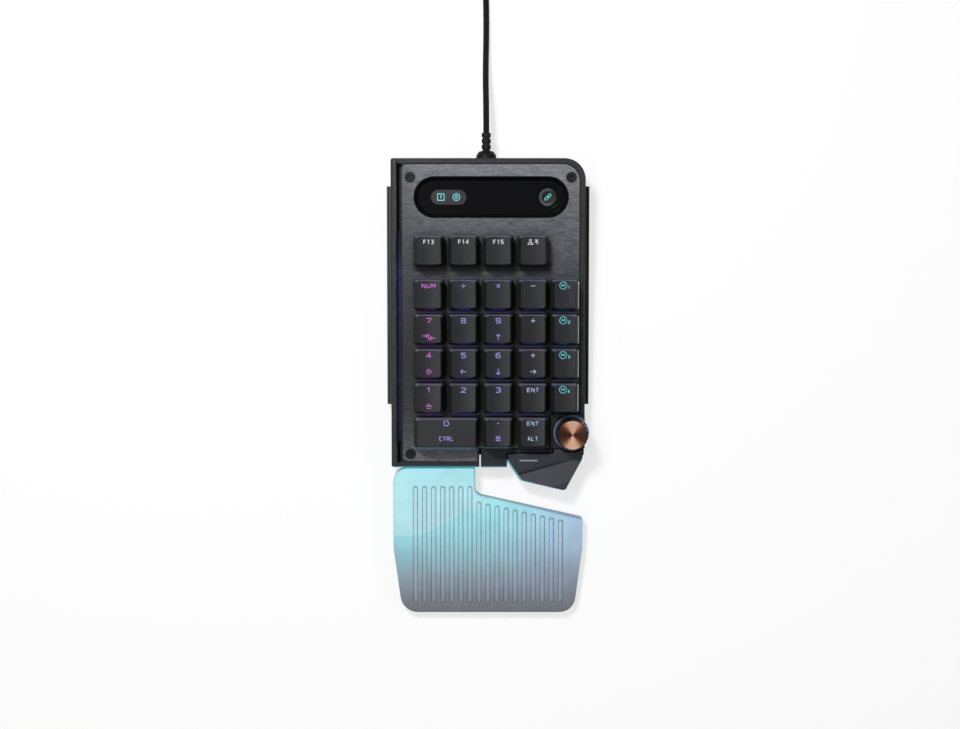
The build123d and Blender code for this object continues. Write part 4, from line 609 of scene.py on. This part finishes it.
def sheen(tree):
    """The share of the wrist rest's paler sheen, which ends along a line that climbs from left to right."""
    parts = parts_of(tree, object_place(tree))
    (left, low), (right, high) = SHEEN_ENDS
    line = ranged(tree, parts["X"], left * MM, right * MM, low * MM, high * MM, "SMOOTHSTEP")
    over = step(tree, "SUBTRACT", parts["Y"], line)
    return both(tree, ranged(tree, over, -0.6 * MM, 0.6 * MM), along(tree, "X", 2, -6), 0.5)


def rest_edges(tree, fade):
    """The coat's painted shades: on walls, on a strip along the slanted edge, on the grooves' right walls and
    in corners.
    """
    # Painted shade on walls
    walls = mixed(tree, 1.0, fade, rgb(190, 205, 210), "MULTIPLY")
    fade = mixed(tree, facing_up(tree, 0.3, 0.8), walls, fade)
    slanted = parts_of(tree, scaled_place(tree, turn=NOTCH_TURN))["Y"]
    strip = both(tree, ranged(tree, slanted, (NOTCH_LINE - 0.2) * MM, (NOTCH_LINE + 0.2) * MM),
                 along(tree, "X", -1, 1), 0.8)
    shade = mixed(tree, along(tree, "X", 20, 45), rgb(108, 166, 180), rgb(122, 146, 176))
    fade = mixed(tree, strip, fade, shade)
    # Painted shade on the grooves' right walls, stronger to the rear
    shaded_groove_walls = ranged(tree, parts_of(tree, bevelled(tree, 0.7))["X"], 0.1, -0.1, 0.1, 1.0)
    stronger = ranged(tree, along(tree, "Y", -112, -90), 0.0, 1.0, 0.6, 1.25)
    fade = mixed(tree, both(tree, edge_wear_and_painted_light(tree, 0.7), stronger, shaded_groove_walls), fade, rgb(36, 60, 76))
    # Painted shade in corners
    return mixed(tree, in_corners(tree, 1.4, 0.4, 0.9, 0.3), fade, rgb(62, 86, 98))


def button_finish():
    """The mode button: a dark dish inside a grey ring, with painted shade over its right side."""
    made, tree, shader = start_material("button_ringed", 0.5, Specular_IOR_Level=0.25)
    place = object_place(tree)
    middle = middle_of("mode_button")
    tone = ramp(tree, ranged(tree, from_axis(tree, middle), 0.0, BUTTON_RADIUS * MM), tones(
        (0.0, 9, 12, 13), (0.62, 12, 15, 16), (0.76, 76, 80, 84), (1.0, 66, 70, 74)))
    side = middle.x / MM
    # Painted shade over the right side
    tone = mixed(tree, along(tree, "X", side + 0.5, side + 3.2), tone, rgb(14, 17, 18))
    cloud = greys(tree, noise(tree, place, 300), 205, 255)
    feed(tree, shader, Base_Color=mixed(tree, 1.0, tone, cloud, "MULTIPLY"))
    bump(tree, shader, noise(tree, place, 2600), 0.006, rounding=0.2)
    return made


def tinted(made, factor, tint):
    """A material whose colour changes to a tint by a factor."""
    tree = made.node_tree
    colour = tree.nodes["Principled BSDF"].inputs["Base Color"]
    tree.links.new(mixed(tree, factor, colour.links[0].from_socket, tint), colour)
    return made


def case_finish():
    """Black case plastic, with painted shade in its corners and a painted glow of the light bar on its front
    edge.
    """
    made = moulded("case_plastic", rgb(23, 25, 30), rgb(31, 33, 39), 0.5, worn_and_highlit=rgb(58, 60, 66), corners=4.0,
                   Specular_IOR_Level=0.35, Emission_Strength=1.0)
    tree = made.node_tree
    # Painted glow of the light bar on the front edge
    edge = both(tree, along(tree, *CASE_FRONT), over_plate(tree, *CASE_GLOW_LEVELS),
                along(tree, *CASE_GLOW_END))
    glow = mixed(tree, edge, rgb(0, 0, 0), rgb(60, 128, 142))
    feed(tree, tree.nodes["Principled BSDF"], Emission_Color=glow)
    return made


def knob_finish():
    """Black knob plastic with a painted blue-grey glint on the ring round its skirt."""
    made = moulded("knob_black", rgb(10, 11, 14), rgb(17, 18, 22), 0.3, rounding=0.15)
    tree = made.node_tree
    start, full, last, end = (length * MM for length in KNOB_RING)
    radius = from_axis(tree, spot(*KNOB_PLACE))
    # Painted blue-grey glint on the skirt's ring, on faces that look up
    ring = both(tree, ranged(tree, radius, start, full), ranged(tree, radius, end, last))
    return tinted(made, both(tree, ring, facing_up(tree, 0.3, 0.7)), rgb(92, 106, 134))


def paddle_finish():
    """Satin plastic of the thumb paddle, with painted shade along the rear of its crease."""
    made = moulded("paddle_satin", rgb(43, 45, 53), rgb(51, 53, 61), 0.42, worn_and_highlit=rgb(96, 98, 106), uneven=0.03,
                   Specular_IOR_Level=0.4)
    tree = made.node_tree
    slanted = parts_of(tree, scaled_place(tree, turn=CREASE_TURN))["Y"]
    band = both(tree, ranged(tree, slanted, (CREASE_LINE - 0.1) * MM, (CREASE_LINE + 0.2) * MM),
                ranged(tree, slanted, (CREASE_LINE + 1.9) * MM, (CREASE_LINE + 0.5) * MM))
    # Painted shade along the rear of the crease
    return tinted(made, both(tree, band, along(tree, "X", 56, 36)), rgb(19, 20, 24))


def turned_finish():
    """Spun copper: rings of fine turning marks, and painted bright and dark fans of reflection about the
    knob's middle.
    """
    made, tree, shader = start_material("copper_spun", 0.32, 0.35, Anisotropic=0.5)
    shifted = vector_step(tree, "SUBTRACT", object_place(tree), middle_of("knob_cap"))["Vector"]
    parts = parts_of(tree, shifted)
    # Painted reflection: bright and dark fans by the angle about the middle
    angle = step(tree, "ARCTAN2", parts["Y"], parts["X"])
    painted_fans = step(tree, "COSINE", both(tree, angle, 2.0))
    tone = ramp(tree, ranged(tree, painted_fans, 1.0, -1.0), tones(
        (0.0, 66, 36, 24), (0.3, 96, 54, 38), (0.58, 166, 104, 74), (0.85, 255, 192, 156),
        (1.0, 255, 208, 176)))
    spokes = add(tree, "ShaderNodeCombineXYZ", {"X": angle}).outputs["Vector"]
    streaks = noise(tree, spokes, 24, detail=4, roughness=0.7)
    tone = mixed(tree, 0.8, tone, greys(tree, streaks, 150, 255), "MULTIPLY")
    tangent = add(tree, "ShaderNodeTangent", direction_type="RADIAL", axis="Z").outputs["Tangent"]
    gloss = spread(tree, streaks, 0.24, 0.4)
    feed(tree, shader, Base_Color=tone, Tangent=tangent, Roughness=gloss)
    radius = vector_step(tree, "LENGTH", shifted)["Value"]
    rings = step(tree, "SINE", both(tree, radius, 9000.0))
    bump(tree, shader, rings, 0.006, rounding=0.2)
    return made


def braid_finish():
    """Woven sleeve: two crossing sets of strands, dark grey on black, with a thread's fuzz."""
    made, tree, shader = start_material("cable_braid", 0.75, Specular_IOR_Level=0.25)
    strands = []
    for turn in (BRAID_TURN, -BRAID_TURN):
        place = scaled_place(tree, (900, 900, 900), turn)
        inputs = {"Vector": place, "Scale": 1.0, "Distortion": 0.6, "Detail": 1.0}
        strands.append(add(tree, "ShaderNodeTexWave", inputs).outputs["Fac"])
    woven = step(tree, "MAXIMUM", *strands)
    tone = ramp(tree, woven, tones((0.35, 6, 6, 7), (0.95, 24, 24, 26)))
    fuzz = greys(tree, noise(tree, object_place(tree), 5200), 6, 36)
    feed(tree, shader, Base_Color=mixed(tree, 0.25, tone, fuzz))
    bump(tree, shader, woven, 0.25)
    return made


def board_finish():
    """Black solder mask with faint tracks."""
    made, tree, shader = start_material("board_mask", 0.3)
    place = object_place(tree)
    inputs = {"Vector": place, "Scale": 160.0, "Color1": rgb(20, 32, 26), "Color2": rgb(26, 40, 32),
              "Mortar": rgb(52, 70, 58), "Mortar Size": 0.04}
    feed(tree, shader, Base_Color=add(tree, "ShaderNodeTexBrick", inputs).outputs["Color"])
    bump(tree, shader, noise(tree, place, 900), 0.01)
    return made


def finishes():
    """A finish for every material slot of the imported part."""
    # The plate's brushed grey with a painted sheen along its length: lighter at the rear and at the front,
    # darker in the middle
    plate_tones_and_sheen = tones(
        (0.0, 110, 114, 119), (0.14, 92, 95, 100), (0.21, 84, 87, 92), (0.36, 66, 69, 75), (0.45, 58, 61, 67),
        (0.65, 47, 49, 54), (0.84, 63, 65, 69), (1.0, 112, 114, 120))
    steel_tones = tones((0.0, 190, 192, 196), (1.0, 206, 208, 212))
    left_tones = tones(
        (0.0, 12, 12, 16), (0.3, 46, 36, 84), (0.6, 38, 33, 68), (0.85, 36, 33, 62), (1.0, 12, 12, 16))
    front_tones = tones((0.0, 96, 176, 188), (0.7, 96, 176, 188), (0.85, 50, 84, 100), (1.0, 44, 74, 92))
    rim_tones = tones((0.0, 96, 176, 188), (0.4, 96, 176, 188), (0.7, 84, 116, 196), (1.0, 112, 84, 176))
    return {
        "keycap": keycap_finish(),
        "plate": brushed("plate_brushed", plate_tones_and_sheen, PLATE_FORWARD, 0.42, 0.35, shade=plate_shade),
        "case": case_finish(),
        "trim": moulded("trim_satin", rgb(25, 26, 29), rgb(32, 33, 37), 0.36, worn_and_highlit=rgb(90, 92, 98),
                        corners=3.0, Specular_IOR_Level=0.45),
        "left_light": lit_guide("left_glow", LEFT_LIGHT_RUN, left_tones, 1.0, rgb(8, 8, 10),
                                Specular_IOR_Level=0.15),
        "front_light": lit_guide("front_glow", FRONT_LIGHT_RUN, front_tones, 1.7, rgb(66, 104, 112)),
        "rim_light": lit_guide("rim_glow", RIM_LIGHT_RUN, rim_tones, 0.9, rgb(70, 100, 112)),
        "rail": moulded("rail_plastic", rgb(40, 41, 44), rgb(50, 51, 54), 0.45, worn_and_highlit=rgb(84, 86, 90),
                        corners=1.5),
        "screw": moulded("screw_black", rgb(20, 20, 23), rgb(30, 30, 33), 0.4, worn_and_highlit=rgb(70, 72, 78),
                         corners=1.0, metallic=0.2, Specular_IOR_Level=0.2),
        "tray": moulded("tray_gloss", rgb(13, 13, 15), rgb(16, 16, 18), 0.2, grain=0.8, depth=0.001,
                        uneven=0.01, Specular_IOR_Level=0.1),
        "lens": moulded("lens_smoke", rgb(54, 55, 60), rgb(60, 61, 66), 0.25, grain=0.6, depth=0.001,
                        uneven=0.02, Specular_IOR_Level=0.2),
        "button": button_finish(),
        "paddle": paddle_finish(),
        "knob": knob_finish(),
        "copper": turned_finish(),
        "steel": brushed("steel_plain", steel_tones, USB_SHELL_RUN, 0.3, 1.0, depth=0.002),
        "encoder": moulded("encoder_body", rgb(28, 29, 33), rgb(42, 43, 48), 0.4),
        "switch": moulded("switch_nylon", rgb(20, 20, 23), rgb(34, 34, 38), 0.45),
        "board": board_finish(),
        "rest": wrist_rest_finish(),
        "rest_base": moulded("rest_base_plastic", rgb(58, 62, 68), rgb(70, 74, 80), 0.5),
        "foot": moulded("foot_rubber", rgb(24, 24, 25), rgb(36, 36, 37), 0.8, grain=0.6, depth=0.05),
        "relief": moulded("relief_rubber", rgb(6, 6, 8), rgb(12, 12, 14), 0.55, worn_and_highlit=rgb(34, 34, 38),
                          corners=1.5, Specular_IOR_Level=0.2),
        "braid": braid_finish(),
        "tie": moulded("tie_rubber", rgb(20, 20, 21), rgb(32, 32, 34), 0.7, grain=0.5, depth=0.05),
        "plug": moulded("plug_rubber", rgb(24, 24, 26), rgb(36, 36, 39), 0.5, worn_and_highlit=rgb(64, 64, 68)),
    }


def dress(finish):
    """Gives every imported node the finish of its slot."""
    for node in nodes.values():
        slot = node.material_slots[0]
        slot.material = finish[slot.material.name]


# Cord

def ease(share):
    """A rise from nought to one that starts and ends level."""
    return (1 - math.cos(math.pi * share)) / 2


def coil_place(turn):
    """A point of the coil after a number of turns, clockwise from its left side."""
    layer = min(int(turn / (COIL_TURNS + COIL_CLIMB)), COIL_LAYERS - 1)
    within = turn - layer * (COIL_TURNS + COIL_CLIMB)
    drawn = min(within, COIL_TURNS) * COIL_PITCH
    radius = COIL_OUTER_RADIUS - drawn
    if layer % 2:
        radius = COIL_OUTER_RADIUS - COIL_TURNS * COIL_PITCH + drawn
    level = COIL_LEVEL + COIL_PITCH * (layer + ease(max(within - COIL_TURNS, 0) / COIL_CLIMB))
    if turn > COIL_WOUND:
        tail = turn - COIL_WOUND
        fall = ease(max(tail - TAIL_WIDENING, 0) / TAIL_FALL)
        radius = COIL_OUTER_RADIUS + COIL_PITCH * min(tail / TAIL_WIDENING, 1) + TAIL_SPREAD * fall
        top = COIL_LEVEL + COIL_PITCH * layer
        level = top - (top - PLUG_LEVEL) * fall
    angle = math.pi - 2 * math.pi * turn
    return (COIL_CENTRE[0] + radius * math.cos(angle), COIL_CENTRE[1] + radius * math.sin(angle), level)


def make_cord():
    """The braided cable from the strain relief over the desk, wound up and into its plug."""
    turns = COIL_WOUND + TAIL_WIDENING + TAIL_FALL
    count = round(turns * COIL_TURN_POINTS)
    wound = [coil_place(turns * number / count) for number in range(count + 1)]
    points = [*CORD_ROUTE, *wound, PLUG_JOIN]
    curve = bpy.data.curves.new("cable_cord", "CURVE")
    curve.dimensions = "3D"
    curve.bevel_depth = 1.0
    curve.bevel_resolution = 3
    curve.resolution_u = 5
    spline = curve.splines.new("NURBS")
    spline.points.add(len(points) - 1)
    for point, place in zip(spline.points, points):
        point.co = (*(Vector(place) * MM), 1.0)
        point.radius = CORD_DIAMETER / 2
    spline.order_u = 3
    spline.use_endpoint_u = True
    cord = add_piece("cable_cord", curve, "keypad")
    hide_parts("cable", "cable_coil")
    return cord


# Legends and marks

def add_piece(name, data, body):
    """A new object, in the scene, that rides on a body."""
    piece = bpy.data.objects.new(name, data)
    bpy.context.scene.collection.objects.link(piece)
    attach(piece, body)
    return piece


def stroke(points, closed=False, width=STROKE):
    """A line of even width through points, as four-sided faces with mitred corners."""
    points = [Vector(point) for point in points]
    count = len(points)
    ends = range(count if closed else count - 1)
    runs = [(points[(i + 1) % count] - points[i]).normalized() for i in ends]
    sides = []
    for i, point in enumerate(points):
        before = runs[i - 1] if closed or i > 0 else runs[0]
        after = runs[i] if closed or i < count - 1 else runs[-1]
        left = Vector((-before.y, before.x)) + Vector((-after.y, after.x))
        left = left * (width / left.dot(left))
        sides.append((point + left, point - left))
    pairs = list(zip(sides, sides[1:])) + ([(sides[-1], sides[0])] if closed else [])
    return [(a[1], b[1], b[0], a[0]) for a, b in pairs]


def strokes(lines, width=STROKE):
    """Several open lines of even width, as faces."""
    return [face for line in lines for face in stroke(line, width=width)]


def circle(x, y, radius, count=20):
    """Points round a circle."""
    angles = [2 * math.pi * number / count for number in range(count)]
    return [(x + radius * math.cos(angle), y + radius * math.sin(angle)) for angle in angles]


def moved(faces, x, y):
    """Faces shifted by a distance."""
    return [[Vector((corner[0] + x, corner[1] + y)) for corner in face] for face in faces]


def turned(faces, angle):
    """Faces turned anticlockwise by an angle."""
    turn = Matrix.Rotation(angle, 2)
    return [[turn @ Vector(corner) for corner in face] for face in faces]


def lettering(text, height, width, weight=STROKE):
    """Letters drawn with a line of even weight, as faces about their middle."""
    letter = width / (len(text) + LETTER_GAP * (len(text) - 1))
    faces = []
    for number, sign in enumerate(text):
        left = number * letter * (1 + LETTER_GAP) - (width - weight) / 2
        for line in GLYPHS[sign]:
            points = [(left + x * (letter - weight), (y - 0.5) * (height - weight)) for x, y in line]
            closed = line[0] == line[-1]
            faces += stroke(points[:-1] if closed else points, closed, weight)
    return faces


def arrow(quarter):
    """A thin arrow; quarter turns anticlockwise from pointing right."""
    lines = (((-1.6, 0), (1.5, 0)), ((0.45, 1.1), (1.55, 0), (0.45, -1.1)))
    return turned(strokes(lines), quarter * math.pi / 2)


def tab_mark():
    """Two arrows that meet at a bar, one above the other."""
    return strokes((
        ((-3.7, 0.6), (-0.7, 0.6)), ((-1.7, 1.7), (-0.65, 0.6), (-1.7, -0.5)), ((0, 1.9), (0, -1.9)),
        ((3.7, -0.6), (0.7, -0.6)), ((1.7, 0.5), (0.65, -0.6), (1.7, -1.7))))


def lock_mark():
    """An arrowhead block that points down, under a short bar."""
    block = ((-1.2, 0.4), (1.2, 0.4), (1.2, -0.2), (0, -1.4), (-1.2, -0.2))
    bar = ((-0.7, 1.3), (0.7, 1.3))
    return stroke(block, True, SIGN_STROKE) + stroke(bar, False, SIGN_STROKE)


def shift_mark():
    """A roof over a line."""
    roof = ((-1.3, -0.1), (0, 1.3), (1.3, -0.1))
    line = ((-1.3, -1.2), (1.3, -1.2))
    return stroke(roof, True, SIGN_STROKE) + stroke(line, False, SIGN_STROKE)


def list_mark():
    """Three short lines, one above the other."""
    return strokes([((-1.3, level), (1.3, level)) for level in (-1.0, 0.0, 1.0)], LIST_STROKE)


def profile_mark():
    """A head and shoulders, and a bent arrow beside them."""
    head = stroke(circle(-1.5, 0.75, 0.6, 10), True, FINE_STROKE)
    shoulders = stroke(((-2.9, -1.3), (-2.3, -0.4), (-0.7, -0.4), (-0.1, -1.3)), True, FINE_STROKE)
    bent = stroke(((2.7, 1.0), (1.2, 1.0), (2.5, 0.0), (1.2, 0.0), (2.7, -1.2)), False, FINE_STROKE)
    return head + shoulders + bent


def signs(text):
    """The arithmetic signs, as bars."""
    bar = stroke(((-1.2, 0), (1.2, 0)))
    if text == "-":
        return bar
    if text == "+":
        return strokes((((-1.2, 0), (-STROKE / 2, 0)), ((STROKE / 2, 0), (1.2, 0)), ((0, -1.2), (0, 1.2))))
    if text == "x":
        return turned(signs("+"), math.pi / 4)
    half = DIVIDE_DOT / 2
    return bar + strokes([((-half, level), (half, level)) for level in (0.9, -0.9)], DIVIDE_DOT)


def macro_mark(number):
    """A ring with an M in it, and the macro key's number."""
    ring = stroke(circle(-0.9, 0.2, 1.95, 24), True, FINE_STROKE)
    letter = moved(lettering("M", 1.6, 1.8, FINE_STROKE), -0.9, 0.2)
    return ring + letter + moved(lettering(number, 1.8, 1.3, FINE_STROKE), 2.3, -0.8)


def link_mark():
    """Two links of a chain on the slant."""
    outline = ((-0.8, 0.6), (0.8, 0.6), (1.2, 0.0), (0.8, -0.6), (-0.8, -0.6), (-1.2, 0.0))
    ring = stroke(outline, True, LINK_STROKE)
    return turned(moved(ring, -1.05, 0) + moved(ring, 1.05, 0), math.pi / 4)


def printed(name, faces, x, y, under, body, finish):
    """Thin raised print: faces dropped on to a node's surface round a place and given a thickness."""
    target = nodes[under].data
    surface = BVHTree.FromPolygons([vertex.co for vertex in target.vertices],
                                   [polygon.vertices for polygon in target.polygons])
    shape = bmesh.new()
    for face in faces:
        corners = []
        for corner in face:
            above = Vector((x + corner[0] * MM, y + corner[1] * MM, 1.0))
            landed = surface.ray_cast(above, Vector((0, 0, -1)))[0]
            corners.append(shape.verts.new(landed + Vector((0, 0, LEGEND_LIFT))))
        shape.faces.new(corners)
    bmesh.ops.remove_doubles(shape, verts=shape.verts, dist=LEGEND_MERGE)
    bmesh.ops.recalc_face_normals(shape, faces=shape.faces)
    for face in shape.faces:
        if face.normal.z < 0:
            face.normal_flip()
    mesh = bpy.data.meshes.new(name)
    shape.to_mesh(mesh)
    shape.free()
    mesh.materials.append(finish)
    thickness = add_piece(name, mesh, body).modifiers.new("thickness", "SOLIDIFY")
    thickness.thickness = LEGEND_THICKNESS
    thickness.offset = 1.0


def key_legends():
    """Every key's legends: (key, colour, upper mark, lower mark)."""
    word = {text: lettering(text, WORD_HEIGHT, width) for text, width in WORD_WIDTHS.items()}
    digit = {text: lettering(text, FIGURE_HEIGHT, FIGURE_WIDTH, FIGURE_STROKE) for text in "0123456789"}
    dot = stroke(((-DECIMAL_DOT / 2, 0), (DECIMAL_DOT / 2, 0)), width=DECIMAL_DOT)
    return (
        ("f13", "white", word["F13"], None), ("f14", "white", word["F14"], None),
        ("f15", "white", word["F15"], None), ("profile", "white", profile_mark(), None),
        ("num", "pink", word["NUM"], None), ("divide", "violet", signs("/"), None),
        ("multiply", "violet", signs("x"), None), ("minus", "blue", signs("-"), None),
        ("7", "pink", digit["7"], tab_mark()), ("8", "violet", digit["8"], None),
        ("9", "violet", digit["9"], arrow(1)), ("plus_upper", "blue", signs("+"), None),
        ("4", "pink", digit["4"], lock_mark()), ("5", "violet", digit["5"], arrow(2)),
        ("6", "violet", digit["6"], arrow(3)), ("plus_lower", "blue", signs("+"), arrow(0)),
        ("1", "pink", digit["1"], shift_mark()), ("2", "violet", digit["2"], None),
        ("3", "violet", digit["3"], None), ("enter_upper", "blue", word["ENT"], None),
        ("0", "violet", digit["0"], word["CTRL"]), ("decimal", "violet", dot, list_mark()),
        ("enter_lower", "blue", word["ENT"], word["ALT"]),
        ("m1", "teal", macro_mark("1"), None), ("m2", "teal", macro_mark("2"), None),
        ("m3", "teal", macro_mark("3"), None), ("m4", "teal", macro_mark("4"), None),
    )


def mark_keys(light):
    """Prints the legends on the caps, one piece to a key."""
    for key, colour, upper, lower in key_legends():
        node = "key_" + key
        low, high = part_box(node)
        rear = high.y - CAP_REAR_SETBACK * MM
        first, second = FRONT_LEGEND_ROWS if key in FRONT_KEYS else LEGEND_ROWS
        faces = moved(upper, 0, -first)
        if lower:
            faces = faces + moved(lower, 0, -second)
        printed("legend_" + key, faces, (low.x + high.x) / 2, rear, node, node, light[colour])


def mark_controls(light):
    """The lens's two lit figures, the mode button's links and the paddle's bar."""
    square = stroke(((-1.8, -1.8), (1.8, -1.8), (1.8, 1.8), (-1.8, 1.8)), True)
    square += lettering("1", 2.1, 1.8, LENS_STROKE)
    ring = stroke(circle(0, 0, 1.9), True) + lettering("0", 1.9, 1.5, LENS_STROKE)
    figures = moved(square, -LENS_FIGURE_OFFSET, 0) + moved(ring, LENS_FIGURE_OFFSET, 0)
    lens = middle_of("indicator_lens")
    printed("lens_figures", figures, lens.x, lens.y, "indicator_lens", "keypad", light["cyan"])
    button = middle_of("mode_button")
    printed("mode_links", link_mark(), button.x, button.y, "mode_button", "mode_button",
            light["cyan"])
    bar = stroke(((-PADDLE_BAR_REACH, 0), (PADDLE_BAR_REACH, 0)), width=PADDLE_BAR_WIDTH)
    paddle = spot(*PADDLE_BAR_PLACE)
    printed("paddle_bar", bar, paddle.x, paddle.y, "thumb_paddle", "paddle", light["grey"])


def make_leds(finish):
    """An LED bar on the rear rim of every key's switch."""
    shape = bmesh.new()
    for key in [legend[0] for legend in key_legends()]:
        low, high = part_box("key_" + key)
        middle = (low + high) / 2
        v = ((middle.y - PLATE_CENTRE.y) / MM + CAP_BASE_LEVEL * math.sin(SLOPE)) / math.cos(SLOPE)
        length = (high.x - low.x) / MM - LED_SIDE_INSET * 2
        bar = bmesh.ops.create_cube(shape, size=MM)["verts"]
        place = CASE_AXES @ Matrix.Translation(Vector((middle.x / MM, v + LED_REACH, LED_LEVEL)) * MM)
        place = place @ Matrix.Diagonal((length, LED_DEPTH, LED_HEIGHT, 1))
        bmesh.ops.transform(shape, matrix=place, verts=bar)
    mesh = bpy.data.meshes.new("key_leds")
    shape.to_mesh(mesh)
    shape.free()
    mesh.materials.append(finish)
    rounding = add_piece("key_leds", mesh, "keypad").modifiers.new("rounding", "BEVEL")
    rounding.width = LED_HEIGHT / 3 * MM
    rounding.segments = 2


# Stage

def floor_finish():
    """White paper that shows white to the camera and in reflections, and keeps part of a shadow.

    None is kept by the plug's tip, just out of the picture."""
    made = bpy.data.materials.new("floor_white")
    made.use_nodes = True
    tree = made.node_tree
    tree.nodes.remove(tree.nodes["Principled BSDF"])
    paper = add(tree, "ShaderNodeBsdfDiffuse", {"Color": rgb(250, 250, 250)}).outputs["BSDF"]
    white = add(tree, "ShaderNodeEmission", {"Color": (1, 1, 1, 1), "Strength": 1.0}).outputs["Emission"]
    path = add(tree, "ShaderNodeLightPath").outputs
    seen = path["Is Camera Ray"]
    for ray in ("Is Glossy Ray", "Is Transmission Ray"):
        seen = step(tree, "MAXIMUM", seen, path[ray])
    share = ranged(tree, patch(tree, *PLUG_TIP), 0.0, 1.0, FLOOR_WHITE, 1.0)
    inputs = {"Fac": both(tree, seen, share), 1: paper, 2: white}
    mix = add(tree, "ShaderNodeMixShader", inputs).outputs["Shader"]
    tree.links.new(mix, tree.nodes["Material Output"].inputs["Surface"])
    return made


def make_floor():
    """The plain white desk."""
    mesh = bpy.data.meshes.new("floor")
    corners = [(x * FLOOR_REACH, y * FLOOR_REACH, 0) for x, y in ((-1, -1), (1, -1), (1, 1), (-1, 1))]
    mesh.from_pydata(corners, [], [(0, 1, 2, 3)])
    mesh.materials.append(floor_finish())
    floor = bpy.data.objects.new("floor", mesh)
    bpy.context.scene.collection.objects.link(floor)


def make_light(name, place, width, length, power):
    """A soft oblong lamp aimed at the keypad's middle, its width from side to side."""
    lamp = bpy.data.lights.new(name, "AREA")
    lamp.shape = "RECTANGLE"
    lamp.size = width
    lamp.size_y = length
    lamp.energy = power
    holder = bpy.data.objects.new(name, lamp)
    back = (Vector(place) - PLATE_CENTRE).normalized()
    across = (Vector((1, 0, 0)) - back * back.x).normalized()
    facing = Matrix((across, back.cross(across), back)).transposed()
    holder.matrix_world = Matrix.Translation(place) @ facing.to_4x4()
    bpy.context.scene.collection.objects.link(holder)


def make_stage():
    """Floor, studio lamps, sky and the camera."""
    make_floor()
    for name, settings in LAMPS.items():
        make_light(name, *settings)
    world = bpy.data.worlds.new("sky")
    world.use_nodes = True
    sky = world.node_tree.nodes["Background"]
    sky.inputs["Color"].default_value = (1, 1, 1, 1)
    sky.inputs["Strength"].default_value = SKY_STRENGTH
    bpy.context.scene.world = world
    lens = bpy.data.cameras.new("camera")
    lens.angle = CAMERA_ANGLE
    lens.clip_start = CAMERA_NEAR
    camera = bpy.data.objects.new("camera", lens)
    camera.location = CAMERA_PLACE
    bpy.context.scene.collection.objects.link(camera)
    bpy.context.scene.camera = camera
    bpy.context.scene.view_settings.view_transform = "Standard"


make_stage()
finish = finishes()
make_cord().data.materials.append(finish["braid"])
dress(finish)
lights = {name: legend_finish("legend_" + name, rgb(*colour), strength)
          for name, (colour, strength) in LEGEND_LIGHTS.items()}
mark_keys(lights)
mark_controls(lights)
make_leds(led_finish())

bpy.context.view_layer.update()
